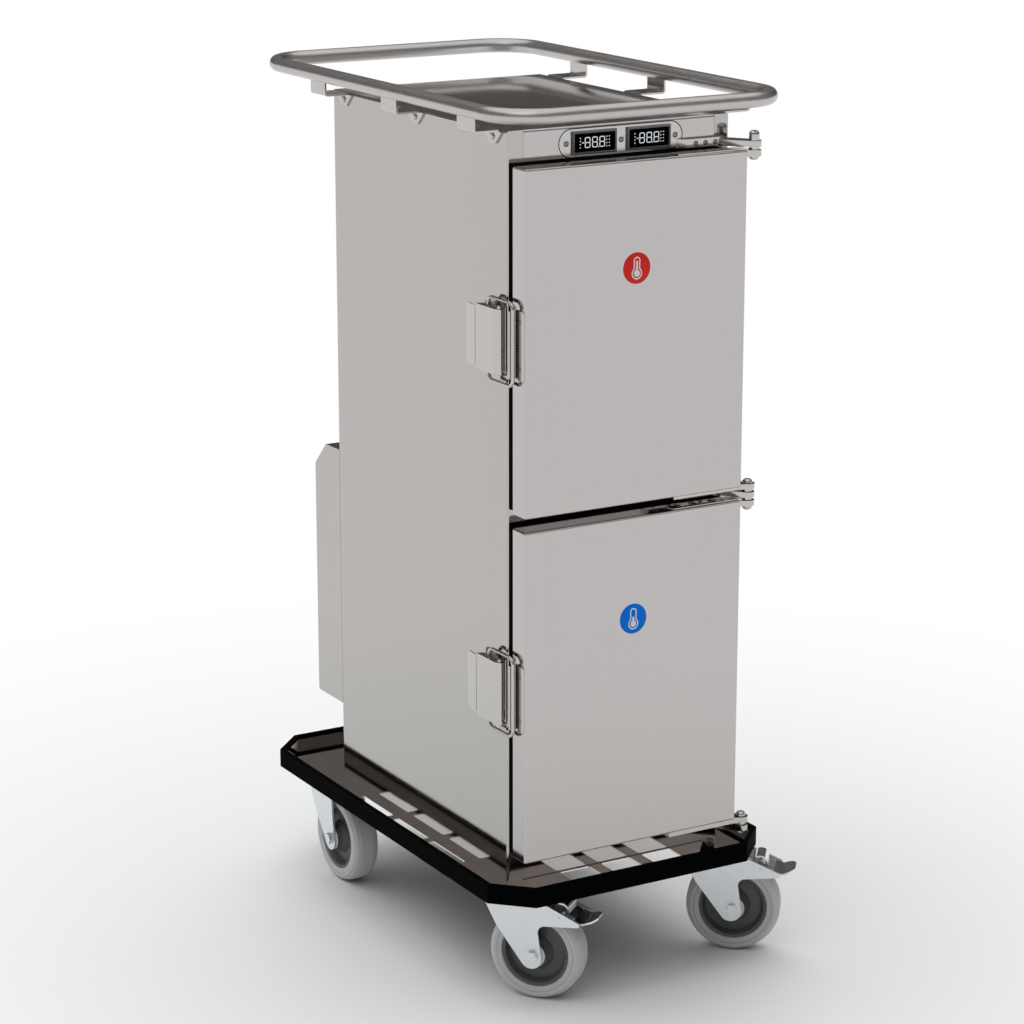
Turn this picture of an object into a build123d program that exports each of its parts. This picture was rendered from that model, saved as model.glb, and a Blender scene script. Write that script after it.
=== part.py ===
"""Food transport trolley with a heated and a cooled compartment, as separate pieces.

Millimetres, +Z up, floor at Z = 0, doors face -Y, X = 0 is the cabinet's middle plane.
"""

import os
from math import cos, radians, sin, sqrt

from build123d import *

# Cabinet
CAB_W = 408.0
CAB_D = 584.0
CAB_H = 1226.5
SHEET = 1.5
FOLD_R = 4.0
POST_W = 28.0
SEAM = 0.8
FOAM_GAP = 1.0
WALL_BACK = 34.0
REAR_FLANGE = 22.0
CROSS_RAIL_D = 10.0
FOAM_FRONT = 12.0
NEAR = 0.1

# Chassis
CASTOR_H = 195.2
TRAY_T = 2.0
TRAY_WALL_H = 18.0
BUMPER_W = 524.0
BUMPER_L = 872.5
BUMPER_CUT = 58.0
BUMPER_H = 32.0
BUMPER_DROP = 12.0
BUMPER_LEG = 4.6
BUMPER_CAP = 8.0
FRONT_OVERHANG = 92.5
RIM_R = 1.5
SLOT_R = 4.0
FRONT_SLOT = (57.0, 66.0)
FRONT_SLOT_PITCH = 79.5
FRONT_SLOT_FWD = 37.0
SIDE_SLOT = (21.5, 108.0)
SIDE_SLOT_PITCH = 126.5
SIDE_SLOT_OUT = 24.5
SIDE_SLOT_BACK = 296.0

# Derived planes
DECK_Z = CASTOR_H + TRAY_T
FRONT = -BUMPER_L / 2 + FRONT_OVERHANG
BACK = FRONT + CAB_D
TOP = DECK_Z + CAB_H
HALF_W = CAB_W / 2
INNER_HALF = HALF_W - POST_W

# Doors
DOOR_T = 37.7
GASKET_GAP = 17.0
GASKET_W = 19.0
GASKET_INSET = 3.0
CONTACT_GAP = 0.3
DOOR_BACK = FRONT - GASKET_GAP
DOOR_FRONT = DOOR_BACK - DOOR_T
LOWER_DOOR = (DECK_Z + 49.7, DECK_Z + 602.2)
UPPER_DOOR = (DECK_Z + 624.3, DECK_Z + 1174.6)
DOOR_FOLD_R = 3.0
PAN_STEP = 6.0
PAN_SLOPE = 30.0
PAN_MARGIN = (12.0, 13.0)
PAN_CORNER = 14.0
GASKET_CORNER = 6.0

# Compartments, sized for gastronorm 1/1 containers
OPENING_INSET = 26.0
LINER_T = 1.2
GN_W = 325.0
RUNNER_BITE = 5.0
RUNNER_FOOT = 20.0
RUNNER_SLOPE = 70.0
RUNNER_NOSE_R = 2.5
RUNNER_START = 12.0
RUNNER_PITCH = 75.0
RUNNER_COUNT = 6
RUNNER_FIRST = 56.0
LINER_HALF = INNER_HALF - SEAM
LINER_BACK = BACK - WALL_BACK
BAFFLE_DEPTH = 14.0
BAFFLE_W = 300.0
BAFFLE_H = 420.0
BAFFLE_T = 1.0
BAFFLE_CORNER = 12.0
BAFFLE_SLOT = (44.0, 7.0)
BAFFLE_GRID = (60.0, 34.0, 4, 10)
HEATER_R = 3.2
HEATER_RUN = 110.0
HEATER_PITCH = 40.0
HEATER_ROWS = 8
COLD_HALF_W = 140.0
COLD_HALF_H = 190.0
COLD_BASE = 4.0
COLD_FIN = (3.0, 370.0, 9.0)
COLD_FIN_PITCH = 20.0
COLD_FINS = 14
THERMAL_BLOCK = 90.0
BLOCK_FIT = 0.5

# Hinges, heights counted from the deck
HINGE_OUT = 17.5
HINGE_FWD = 45.7
EYE_R = 12.0
PIN_R = 5.0
RUN_FIT = 0.05
COLLAR_R = 8.5
HINGE_X = HALF_W + HINGE_OUT
HINGE_Y = FRONT - HINGE_FWD
BODY_ARMS = ((1178.0, 1188.0), (605.0, 614.0), (27.0, 36.0))
UPPER_ARMS = ((1163.0, 1173.5), (619.0, 628.0))
LOWER_ARMS = ((591.0, 600.0), (41.0, 51.0))
HINGE_BAR_X = (112.0, 191.0)
HINGE_BAR_T = 11.0
HINGE_BAR_H = 14.0
BAR_FRONT = FRONT - HINGE_BAR_T
HINGE_BEVEL = 8.0
HINGE_NOSE = 4.0
HINGE_ROOT = 14.0
EYE_TURN = radians(35)
PIN_ENDS = ((1157.0, 1204.0), (583.0, 635.0), (21.0, 59.0))
PIN_SHORT = 4.0
DOOR_STRAP_L = 128.0
DOOR_STRAP_W = 24.0
DOOR_STRAP_T = 1.8
DOOR_LUG_T = 4.0
STRAP_FWD = 4.0

# Draw latches, offsets from the cabinet's left side and front plane
LATCH_PIVOT = (11.0, 5.0)
LATCH_HALF = 52.0
LEVER_T = 2.0
LEVER_OUT = 19.0
LEVER_END = 65.5
LIP_SLIT = 1.6
LIP_SLIT_HALF = 45.5
LIP_END = 98.0
LIP_OUT = 17.0
LIP_HALF = 48.4
BAIL_PIVOT = (10.0, 42.0)
BAIL_WIRE_R = 3.0
BAIL_HALF = 66.0
BAIL_BEND_R = 12.0
BAIL_CROSS = (8.0, -31.0)
KEEPER_HALF = 55.0
KEEPER_T = 2.0
KEEPER_LIP = 13.0
KEEPER_LIP_T = 3.0
KEEPER_SPAN = (-52.0, -23.0)
KEEPER_CORNER = 3.0
KEEPER_LIP_INSET = 1.5
WIRE_GAP = 0.5
PIN_SMALL_R = 3.0
PIN_STAND = 1.0
BASE_HALF = 40.0
BASE_PLATE = (56.0, 34.0)
BASE_CORNER = 5.0
EAR_FOOT = (10.0, 11.0)
EAR_T = 3.0
EAR_GAP = 1.0
EAR_LOW = LATCH_HALF + EAR_GAP
EAR_OUTLINE = ((0.0, 6.0), (0.0, 16.0), (9.0, 12.0), (15.0, 9.0), (16.0, 4.0), (13.0, 0.0), (8.0, 0.0))
FLANGE_T = 2.0
LEVER_NOSE = -1.8
LEVER_NOSE_OUT = (8.0, 13.5)
LEVER_SHOULDER = 8.0
LEVER_BEND_R = 3.0
LIP_CORNER = 5.0
FLANGE_OUTLINE = ((LEVER_OUT, LEVER_END), (9.0, 62.0), (5.0, 47.0), (5.0, 37.0), (8.0, 30.0),
                  (8.0, 11.0), (5.5, 7.0), (5.5, 2.0))
BAIL_STUB = LATCH_HALF - 7.0

# Push rail
RAIL_R = 12.5
RAIL_HALF_X = 253.1
RAIL_FRONT = FRONT - 95.0
RAIL_BACK = FRONT + 757.0
RAIL_Z = DECK_Z + 1259.7
RAIL_BEND_R = 78.0
BRACKET_W = 52.0
BRACKET_T = 3.0
BRACKET_Y = (41.0, 290.5, 540.0)
BRACKET_DROP = 22.5
BRACKET_CUT = 17.0
BOLT_R = 3.0
BOLT_HEAD_R = 5.5
BOLT_HEAD_T = 3.2
BOLT_DOME = 2.2
BOLT_FIT = 0.2
BOLT_Z = DECK_Z + 1214.6
BRACKET_BEND_R = 4.0
TUBE_SEAT = 0.6
LEDGE_DROP = 0.5

# Control plate in the header
PANEL_L = 226.0
PANEL_H = 44.0
PANEL_Z = DECK_Z + 1199.5
PANEL_X = 1.5
PANEL_GROOVE = 1.0
PANEL_T = 2.0
DISPLAY_W = 81.0
DISPLAY_H = 36.5
DISPLAY_X = (-48.5, 51.5)
DISPLAY_PROUD = 4.0
DISPLAY_BODY = (72.0, 29.0, 55.0)
DISPLAY_RECESS = 1.6
DISPLAY_RIM = 3.5
DISPLAY_BEVEL = 1.2
DISPLAY_CORNER = 2.0
DISPLAY_SLOPE = 20.0
DISPLAY_FIT = 0.3
BAY_ROOM = (3.0, 1.0)

# Refrigeration box on the back
BOX_D = 93.0
BOX_Z = (DECK_Z + 139.0, DECK_Z + 601.0)
BOX_INSET = 1.0
BOX_CUT = 42.0
COVER_W = 330.0
COVER_H = 330.0
COVER_T = 1.5
LOUVRE_COUNT = 12
LOUVRE_L = 130.0
LOUVRE_D = 5.0
FAN_W = 120.0
FAN_T = 26.0
FAN_BORE_R = 57.0
FAN_HUB_R = 20.0
BLADE_COUNT = 7
SINK_BASE = 8.0
SINK_FIN = 36.0
SINK_FINS = 17
SINK_FIN_T = 2.0
SINK_HALF_W = 100.0
SINK_HALF_H = 75.0
BOX_FOLD_R = 3.0
COVER_RISE = 25.0
COVER_LAP = 12.0
COVER_CORNER = 8.0
VENT = (56.0, 8.0)
VENT_PITCH = 26.0
VENT_COUNT = 12
LOUVRE_PITCH = 18.0
LOUVRE_UP = 44.0
LOUVRE_SPREAD = 8.0
LOUVRE_SKIN = 2.0
INLET = (48.0, 30.0)
INLET_X = 105.0
INLET_UP = 46.0
INLET_FLANGE_T = 2.5
INLET_FLANGE_W = 4.0
INLET_WALL = 2.5
INLET_BODY = (INLET[0] - 2 * INLET_FLANGE_W, INLET[1] - 2 * INLET_FLANGE_W)
INLET_DEEP = 30.0
INLET_WELL = 22.0
INLET_PIN = (2.0, 5.0, 14.0)
INLET_PINS = ((-9.0, -2.0), (0.0, 2.0), (9.0, -2.0))
FAN_CORNER = 6.0
FAN_HOLES = 105.0
FAN_HOLE_R = 2.2
FAN_SPOKE = (5.0, 3.0)
FAN_SHAFT = 18.0
BLADE_T = 2.0
BLADE_CHORD = 30.0
BLADE_PITCH = 32.0
BLADE_SINK = 1.0
TIP_GAP = 1.0
ROTOR_LIFT = 4.0
ROTOR_T = 18.0

# Castors, heights from the floor, lengths from the swivel axis
WHEEL_R = 80.0
WHEEL_W = 47.5
TYRE_IN_R = 57.6
HUB_R = 21.5
HUB_HALF = 30.0
AXLE_R = 6.0
TRAIL = 53.0
LEG_IN = 30.6
LEG_T = 3.4
CROWN_Z = (167.5, 172.5)
RACE_Z = 182.0
PLATE_T = 4.2
KING_R = 8.0
CASTOR_INSET = 13.2
FRONT_CASTOR_Y = FRONT + 18.6
REAR_CASTOR_Y = FRONT + 651.0
LEFT_TURN = -50.5
RIGHT_TURN = -38.7
REAR_TURN = -90.0
PEDAL_PIVOT = (100.0, 155.0)
PEDAL_HALF = 20.0
PEDAL_T = 2.8
PEDAL_PIN_R = 3.0
PEDAL_PIN_SINK = 0.6
PEDAL_EYE_R = 6.0
PEDAL_BEND_R = 3.0
PEDAL_HUMP = (98.0, 160.0)
PEDAL_HUMP_R = 12.0
PEDAL_HUMP_ARC = (-15.0, 175.0)
PEDAL_LINE = ((122.0, 148.5), (136.0, 143.5))
TOE_HALF = 27.0
TOE_TIP = (158.0, 151.0)
TOE_CORNER = 18.0
SHOE_OUTLINE = ((104.0, 160.0), (112.0, 157.0), (122.0, 149.0), (119.0, 137.0), (110.0, 139.5), (103.0, 150.0))
PLATE = (112.0, 92.0)
PLATE_CORNER = 8.0
PLATE_HOLES = (86.0, 66.0)
PLATE_SLOT = (14.0, 9.0)
UPPER_RACE_R = 31.0
UPPER_RACE_BEVEL = 2.0
LOWER_RACE_R = 33.0
KING_NUT = (13.0, 6.0)
AXLE_NUT = (10.0, 7.0)
CROWN_BACK = -36.0
CROWN_END = 57.0
CROWN_BRAKED_END = 74.0
CROWN_FOLD_R = 4.0
LEG_CORNER_R = 2.4
LEG_EYE = (50.3, 76.2)
LEG_EYE_R = 18.6
LEG_EDGE = ((-27.0, 160.6), (-10.0, 126.6), (35.2, 65.4), LEG_EYE, (LEG_EYE[0] + LEG_EYE_R, LEG_EYE[1]))
LEG_NOTCH_R = 12.0
LEG_HORN = ((60.6, 133.4), (133.0, 140.2), (133.0, 146.6), (CROWN_BRAKED_END, CROWN_Z[1]))
LEG_PLAIN = ((61.6, 117.2), (57.5, 150.0), (CROWN_END, CROWN_Z[1]))
HUB_BEVEL = (2.0, 8.0)
WEB_R = (30.0, 47.0)
WEB_HALF = (12.0, 10.0)
RIM_R_IN = 52.0
RIM_HALF = (20.0, 21.0)
BEAD_STEP = 1.5
RING_R = (63.0, 63.6)
RING_STEP = 0.6
SHOULDER_R = (72.0, 77.5)
SHOULDER_DROP = 5.0
TREAD_HALF = 11.0

os.makedirs("parts", exist_ok=True)


def save(part, name):
    """Label a piece and write it."""
    part.label = name
    export_step(part, "parts/" + name + ".step")


def save_group(parts, name):
    """Write several like pieces as separate solids under one name."""
    group = Compound(label=name, children=list(parts))
    export_step(group, "parts/" + name + ".step")


def span(xs, ys, zs, mode=Mode.ADD):
    """A rectangular body between pairs of limits."""
    centre = ((xs[0] + xs[1]) / 2, (ys[0] + ys[1]) / 2, (zs[0] + zs[1]) / 2)
    with Locations(centre):
        return Box(xs[1] - xs[0], ys[1] - ys[0], zs[1] - zs[0], mode=mode)


def cut_corner_outline(inset):
    """The chassis outline with its four cut corners, moved inwards by inset."""
    half_x = BUMPER_W / 2 - inset
    half_y = BUMPER_L / 2 - inset
    cut = BUMPER_CUT - inset * (2 - sqrt(2))
    with BuildSketch(Plane.XY) as outline:
        Rectangle(2 * half_x, 2 * half_y)
        chamfer(outline.vertices(), cut)
    return outline.sketch


# Outer sheets
def side_panel(side):
    """Side wall, front post, roof strip and rear flange folded from one sheet."""
    low, high = sorted((side * HALF_W, side * INNER_HALF))
    inner = side * (HALF_W - SHEET)
    with BuildPart() as core:
        span(sorted((inner, side * (INNER_HALF - REAR_FLANGE))), (FRONT + SHEET, BACK - SHEET),
             (DECK_Z - FOLD_R, TOP - SHEET))
        fold = core.edges().filter_by_position(Axis.X, inner - NEAR, inner + NEAR)
        fillet(fold.filter_by(Axis.Z) + fold.filter_by(Axis.Y).sort_by(Axis.Z)[-1:], FOLD_R - SHEET)
    with BuildPart() as panel:
        span((low, high), (FRONT, BACK), (DECK_Z, TOP))
        outer = panel.faces().sort_by(Axis.X)[0 if side < 0 else -1].edges()
        fillet(outer.filter_by(Axis.Z) + outer.filter_by(Axis.Y).sort_by(Axis.Z)[-1:], FOLD_R)
        add(core.part, mode=Mode.SUBTRACT)
    return panel.part


for side_name, side in (("left_side_panel", -1), ("right_side_panel", 1)):
    save(side_panel(side), side_name)

UPPER_OPEN = (UPPER_DOOR[0] + OPENING_INSET, UPPER_DOOR[1] - OPENING_INSET)
LOWER_OPEN = (LOWER_DOOR[0] + OPENING_INSET, LOWER_DOOR[1] - OPENING_INSET)
CROSS_HALF = INNER_HALF - SEAM / 2

# Roof and header are one folded sheet; the header has the pill-shaped opening for the control plate
with BuildPart() as top_panel:
    span((-CROSS_HALF, CROSS_HALF), (FRONT, BACK), (UPPER_OPEN[1], TOP))
    fillet(top_panel.edges().filter_by(Axis.X).sort_by(Axis.Y)[:2].sort_by(Axis.Z)[-1:], FOLD_R)
    span((-INNER_HALF, INNER_HALF), (FRONT + SHEET, BACK + SHEET), (UPPER_OPEN[1] - SHEET, TOP - SHEET),
         mode=Mode.SUBTRACT)
    with BuildSketch(Plane.XZ.offset(-FRONT)):
        with Locations((PANEL_X, PANEL_Z)):
            SlotOverall(PANEL_L + 2 * PANEL_GROOVE, PANEL_H + 2 * PANEL_GROOVE)
    extrude(amount=-FOLD_R, mode=Mode.SUBTRACT)
save(top_panel.part, "top_panel")

# Middle rail and sill: shallow channels between the posts
for rail_name, rail_z in (("middle_rail", (LOWER_OPEN[1], UPPER_OPEN[0])),
                          ("bottom_sill", (DECK_Z + SHEET, LOWER_OPEN[0]))):
    with BuildPart() as cross_rail:
        span((-CROSS_HALF, CROSS_HALF), (FRONT, FRONT + CROSS_RAIL_D), rail_z)
        span((-INNER_HALF, INNER_HALF), (FRONT + SHEET, FRONT + CROSS_RAIL_D + SHEET),
             (rail_z[0] + SHEET, rail_z[1] - SHEET), mode=Mode.SUBTRACT)
    save(cross_rail.part, rail_name)

# Floor sheet of the cabinet, standing on the chassis pan
with BuildPart() as base_panel:
    span((-HALF_W + 2 * SHEET, HALF_W - 2 * SHEET), (FRONT + 2 * SHEET, BACK - 2 * SHEET),
         (DECK_Z, DECK_Z + SHEET))
save(base_panel.part, "base_panel")

# Back sheet between the rear flanges, with the opening for the cold plate's block
BLOCK_Z = (LOWER_OPEN[0] + LOWER_OPEN[1]) / 2
BACK_HALF = INNER_HALF - SEAM / 2
with BuildPart() as back_panel:
    with BuildSketch(Plane.XZ.offset(-BACK)):
        with Locations((0, (DECK_Z + TOP - SHEET) / 2)):
            Rectangle(2 * BACK_HALF, TOP - SHEET - DECK_Z)
        with Locations((0, BLOCK_Z)):
            Rectangle(THERMAL_BLOCK + 2 * BLOCK_FIT, THERMAL_BLOCK + 2 * BLOCK_FIT, mode=Mode.SUBTRACT)
    extrude(amount=SHEET)
save(back_panel.part, "back_panel")


# Inner boxes with pressed runners
def liner(opening, block_hole):
    """Open-fronted inner box with rows of pressed runners on both side walls."""
    inner = LINER_HALF - LINER_T
    bite = inner - GN_W / 2 + RUNNER_BITE
    run = LINER_BACK - FRONT - BAFFLE_DEPTH - LINER_T - RUNNER_START
    rows = [opening[0] + RUNNER_FIRST + RUNNER_PITCH * n for n in range(RUNNER_COUNT)]
    with BuildPart() as box:
        span((-LINER_HALF, LINER_HALF), (FRONT, LINER_BACK), (opening[0] + SEAM, opening[1] - SEAM))
        offset(amount=-LINER_T, openings=box.faces().sort_by(Axis.Y)[0])
        with BuildSketch(Plane.XZ.offset(-LINER_BACK + BAFFLE_DEPTH + LINER_T)):
            for row in rows:
                for wall in (-1, 1):
                    with Locations((wall * (inner - bite / 2), row)):
                        Trapezoid(RUNNER_FOOT, bite, RUNNER_SLOPE, rotation=wall * 90)
        extrude(amount=run)
        with BuildSketch(Plane.XZ.offset(-LINER_BACK + BAFFLE_DEPTH + 2 * LINER_T)):
            for row in rows:
                for wall in (-1, 1):
                    with Locations((wall * (LINER_HALF - bite / 2 + NEAR), row)):
                        Trapezoid(RUNNER_FOOT - 2 * LINER_T, bite, RUNNER_SLOPE, rotation=wall * 90)
        extrude(amount=run - 2 * LINER_T, mode=Mode.SUBTRACT)
        noses = box.edges().filter_by(Axis.Y).filter_by_position(Axis.X, -inner + bite - NEAR,
                                                                    inner - bite + NEAR)
        fillet(noses, RUNNER_NOSE_R)
        if block_hole:
            with BuildSketch(Plane.XZ.offset(-LINER_BACK)):
                with Locations((0, BLOCK_Z)):
                    Rectangle(THERMAL_BLOCK + 2 * BLOCK_FIT, THERMAL_BLOCK + 2 * BLOCK_FIT)
            extrude(amount=2 * LINER_T, mode=Mode.SUBTRACT)
    return box.part


save(liner(UPPER_OPEN, False), "upper_liner")
save(liner(LOWER_OPEN, True), "lower_liner")

# Foam that fills the wall between outer sheets and liners
FOAM_HALF = HALF_W - SHEET - FOAM_GAP
BAY_Z = (PANEL_Z - PANEL_H / 2 - BAY_ROOM[0], PANEL_Z + PANEL_H / 2 + BAY_ROOM[1])
with BuildPart() as cabinet_insulation:
    span((-FOAM_HALF, FOAM_HALF), (FRONT + FOAM_FRONT, BACK - SHEET - FOAM_GAP),
         (DECK_Z + SHEET + FOAM_GAP, TOP - SHEET - FOAM_GAP))
    for opening in (UPPER_OPEN, LOWER_OPEN):
        span((-LINER_HALF, LINER_HALF), (FRONT, LINER_BACK), (opening[0] + SEAM, opening[1] - SEAM),
             mode=Mode.SUBTRACT)
    span((PANEL_X - PANEL_L / 2, PANEL_X + PANEL_L / 2), (FRONT, FRONT + DISPLAY_BODY[2] + FOAM_FRONT), BAY_Z,
         mode=Mode.SUBTRACT)
    span((-THERMAL_BLOCK / 2 - BLOCK_FIT, THERMAL_BLOCK / 2 + BLOCK_FIT), (LINER_BACK - LINER_T, BACK),
         (BLOCK_Z - THERMAL_BLOCK / 2 - BLOCK_FIT, BLOCK_Z + THERMAL_BLOCK / 2 + BLOCK_FIT), mode=Mode.SUBTRACT)
save(cabinet_insulation.part, "cabinet_insulation")

# Hot side: slotted air baffle in front of a bent tubular heater
HOT_Z = (UPPER_OPEN[0] + UPPER_OPEN[1]) / 2
BAFFLE_FACE = LINER_BACK - LINER_T - BAFFLE_DEPTH
with BuildPart() as hot_air_baffle:
    with BuildSketch(Plane.XZ.offset(-LINER_BACK + LINER_T)):
        with Locations((0, HOT_Z)):
            RectangleRounded(BAFFLE_W, BAFFLE_H, BAFFLE_CORNER)
    extrude(amount=BAFFLE_DEPTH)
    offset(amount=-BAFFLE_T, openings=hot_air_baffle.faces().sort_by(Axis.Y)[-1])
    with BuildSketch(Plane.XZ.offset(-BAFFLE_FACE)):
        with Locations((0, HOT_Z)):
            with GridLocations(*BAFFLE_GRID):
                SlotOverall(*BAFFLE_SLOT)
    extrude(amount=-2 * BAFFLE_T, mode=Mode.SUBTRACT)
save(hot_air_baffle.part, "hot_air_baffle")

heater_points = []
for row in range(HEATER_ROWS):
    ends = (-HEATER_RUN, HEATER_RUN) if row % 2 == 0 else (HEATER_RUN, -HEATER_RUN)
    row_z = HOT_Z + (row - (HEATER_ROWS - 1) / 2) * HEATER_PITCH
    heater_points += [(end, LINER_BACK - LINER_T - HEATER_R, row_z) for end in ends]
with BuildPart() as heating_element:
    with BuildLine() as heater_path:
        FilletPolyline(*heater_points, radius=HEATER_PITCH / 2 - NEAR)
    with BuildSketch(Plane(origin=heater_path.line @ 0, z_dir=heater_path.line % 0)):
        Circle(HEATER_R)
    sweep()
save(heating_element.part, "heating_element")

# Cold side: finned plate whose block reaches through the wall to the heat sink
with BuildPart() as cold_plate:
    span((-COLD_HALF_W, COLD_HALF_W), (LINER_BACK - LINER_T - COLD_BASE, LINER_BACK - LINER_T),
         (BLOCK_Z - COLD_HALF_H, BLOCK_Z + COLD_HALF_H))
    with BuildSketch(Plane.XZ.offset(-LINER_BACK + LINER_T + COLD_BASE)):
        with Locations((0, BLOCK_Z)):
            with GridLocations(COLD_FIN_PITCH, 1, COLD_FINS, 1):
                Rectangle(COLD_FIN[0], COLD_FIN[1])
    extrude(amount=COLD_FIN[2])
    span((-THERMAL_BLOCK / 2, THERMAL_BLOCK / 2), (LINER_BACK - LINER_T - COLD_BASE / 2, BACK),
         (BLOCK_Z - THERMAL_BLOCK / 2, BLOCK_Z + THERMAL_BLOCK / 2))
save(cold_plate.part, "cold_plate")

# Control plate, let into the header with a groove around it
with BuildPart() as control_plate:
    with BuildSketch(Plane.XZ.offset(-FRONT)):
        with Locations((PANEL_X, PANEL_Z)):
            SlotOverall(PANEL_L, PANEL_H)
        with Locations(*[(x, PANEL_Z) for x in DISPLAY_X]):
            Rectangle(DISPLAY_BODY[0] + 2 * DISPLAY_FIT, DISPLAY_BODY[1] + 2 * DISPLAY_FIT,
                      mode=Mode.SUBTRACT)
    extrude(amount=-PANEL_T)
save(control_plate.part, "control_plate")

# Two display modules: bevelled bezel with a sunk window, body behind the plate
displays = []
for display_x in DISPLAY_X:
    with BuildPart() as display:
        span((display_x - DISPLAY_W / 2, display_x + DISPLAY_W / 2), (FRONT - DISPLAY_PROUD, FRONT),
             (PANEL_Z - DISPLAY_H / 2, PANEL_Z + DISPLAY_H / 2))
        face_edges = display.faces().sort_by(Axis.Y)[0].edges()
        chamfer(face_edges, DISPLAY_BEVEL)
        with BuildSketch(Plane.XZ.offset(-FRONT + DISPLAY_PROUD)):
            with Locations((display_x, PANEL_Z)):
                RectangleRounded(DISPLAY_W - 2 * DISPLAY_RIM, DISPLAY_H - 2 * DISPLAY_RIM, DISPLAY_CORNER)
        extrude(amount=-DISPLAY_RECESS, taper=DISPLAY_SLOPE, mode=Mode.SUBTRACT)
        span((display_x - DISPLAY_BODY[0] / 2, display_x + DISPLAY_BODY[0] / 2),
             (FRONT - DISPLAY_FIT, FRONT + DISPLAY_BODY[2]),
             (PANEL_Z - DISPLAY_BODY[1] / 2, PANEL_Z + DISPLAY_BODY[1] / 2))
    displays.append(display.part)
save_group(displays, "display_modules")

# Push rail: one closed ring of bent tube
RAIL_Y = (RAIL_FRONT + RAIL_BACK) / 2
with BuildPart() as push_rail:
    with BuildLine(Plane.XY.offset(RAIL_Z)) as rail_path:
        FilletPolyline((-RAIL_HALF_X, RAIL_FRONT), (-RAIL_HALF_X, RAIL_BACK), (RAIL_HALF_X, RAIL_BACK),
                       (RAIL_HALF_X, RAIL_FRONT), radius=RAIL_BEND_R, close=True)
    with BuildSketch(Plane(origin=rail_path.line @ 0, z_dir=rail_path.line % 0)):
        Circle(RAIL_R)
    sweep()
save(push_rail.part, "push_rail")

# Six bent strips carry the rail: tongue on the side wall, short ledge, upright to the tube
brackets = []
bolts = []
LEDGE_Z = TOP - LEDGE_DROP
for side in (-1, 1):
    for bracket_y in BRACKET_Y:
        y_mid = FRONT + bracket_y
        skin = side * (HALF_W + BRACKET_T / 2)
        with BuildPart() as bracket:
            with BuildSketch(Plane.XZ.offset(-y_mid)):
                with BuildLine():
                    FilletPolyline((skin, TOP - BRACKET_DROP), (skin, LEDGE_Z), (side * RAIL_HALF_X, LEDGE_Z),
                                   (side * RAIL_HALF_X, RAIL_Z - RAIL_R + TUBE_SEAT), radius=BRACKET_BEND_R)
                trace(line_width=BRACKET_T)
            extrude(amount=BRACKET_W / 2, both=True)
            foot = bracket.edges().filter_by(Axis.X).sort_by(Axis.Z)[:2]
            chamfer(foot, BRACKET_CUT)
            with Locations((skin, y_mid, BOLT_Z)):
                Cylinder(BOLT_R + BOLT_FIT, 4 * BRACKET_T, rotation=(0, 90, 0), mode=Mode.SUBTRACT)
            with Locations((side * RAIL_HALF_X, RAIL_Y, RAIL_Z)):
                Cylinder(RAIL_R, RAIL_BACK - RAIL_FRONT, rotation=(90, 0, 0), mode=Mode.SUBTRACT)
        brackets.append(bracket.part)
        with BuildPart() as bolt:
            with Locations((side * (HALF_W + BRACKET_T + BOLT_HEAD_T / 2), y_mid, BOLT_Z)):
                Cylinder(BOLT_HEAD_R, BOLT_HEAD_T, rotation=(0, 90, 0))
            fillet(bolt.faces().sort_by(Axis.X)[0 if side < 0 else -1].edges(), BOLT_DOME)
            with Locations((side * (HALF_W + BRACKET_T / 2), y_mid, BOLT_Z)):
                Cylinder(BOLT_R, BRACKET_T, rotation=(0, 90, 0))
        bolts.append(bolt.part)
save_group(brackets, "rail_brackets")
save_group(bolts, "rail_bolts")

# Chassis pan with upturned wall and slots
TRAY_GAP = 0.2
TRAY_INSET = BUMPER_LEG + TRAY_GAP
tray_outline = cut_corner_outline(TRAY_INSET)
tray_inside = cut_corner_outline(TRAY_INSET + TRAY_T)
with BuildPart() as chassis_tray:
    with BuildSketch(Plane.XY.offset(CASTOR_H)):
        add(tray_outline)
    extrude(amount=TRAY_T + TRAY_WALL_H)
    with BuildSketch(Plane.XY.offset(DECK_Z)):
        add(tray_inside)
    extrude(amount=TRAY_WALL_H, mode=Mode.SUBTRACT)
    with BuildSketch(Plane.XY.offset(CASTOR_H)):
        with Locations((0, FRONT - FRONT_SLOT_FWD)):
            with GridLocations(FRONT_SLOT_PITCH, 1, 3, 1):
                RectangleRounded(*FRONT_SLOT, SLOT_R)
        for side in (-1, 1):
            with Locations((side * (HALF_W + SIDE_SLOT_OUT), FRONT + SIDE_SLOT_BACK)):
                with GridLocations(1, SIDE_SLOT_PITCH, 1, 3):
                    RectangleRounded(*SIDE_SLOT, SLOT_R)
    extrude(amount=TRAY_T, mode=Mode.SUBTRACT)
save(chassis_tray.part, "chassis_tray")

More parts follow.
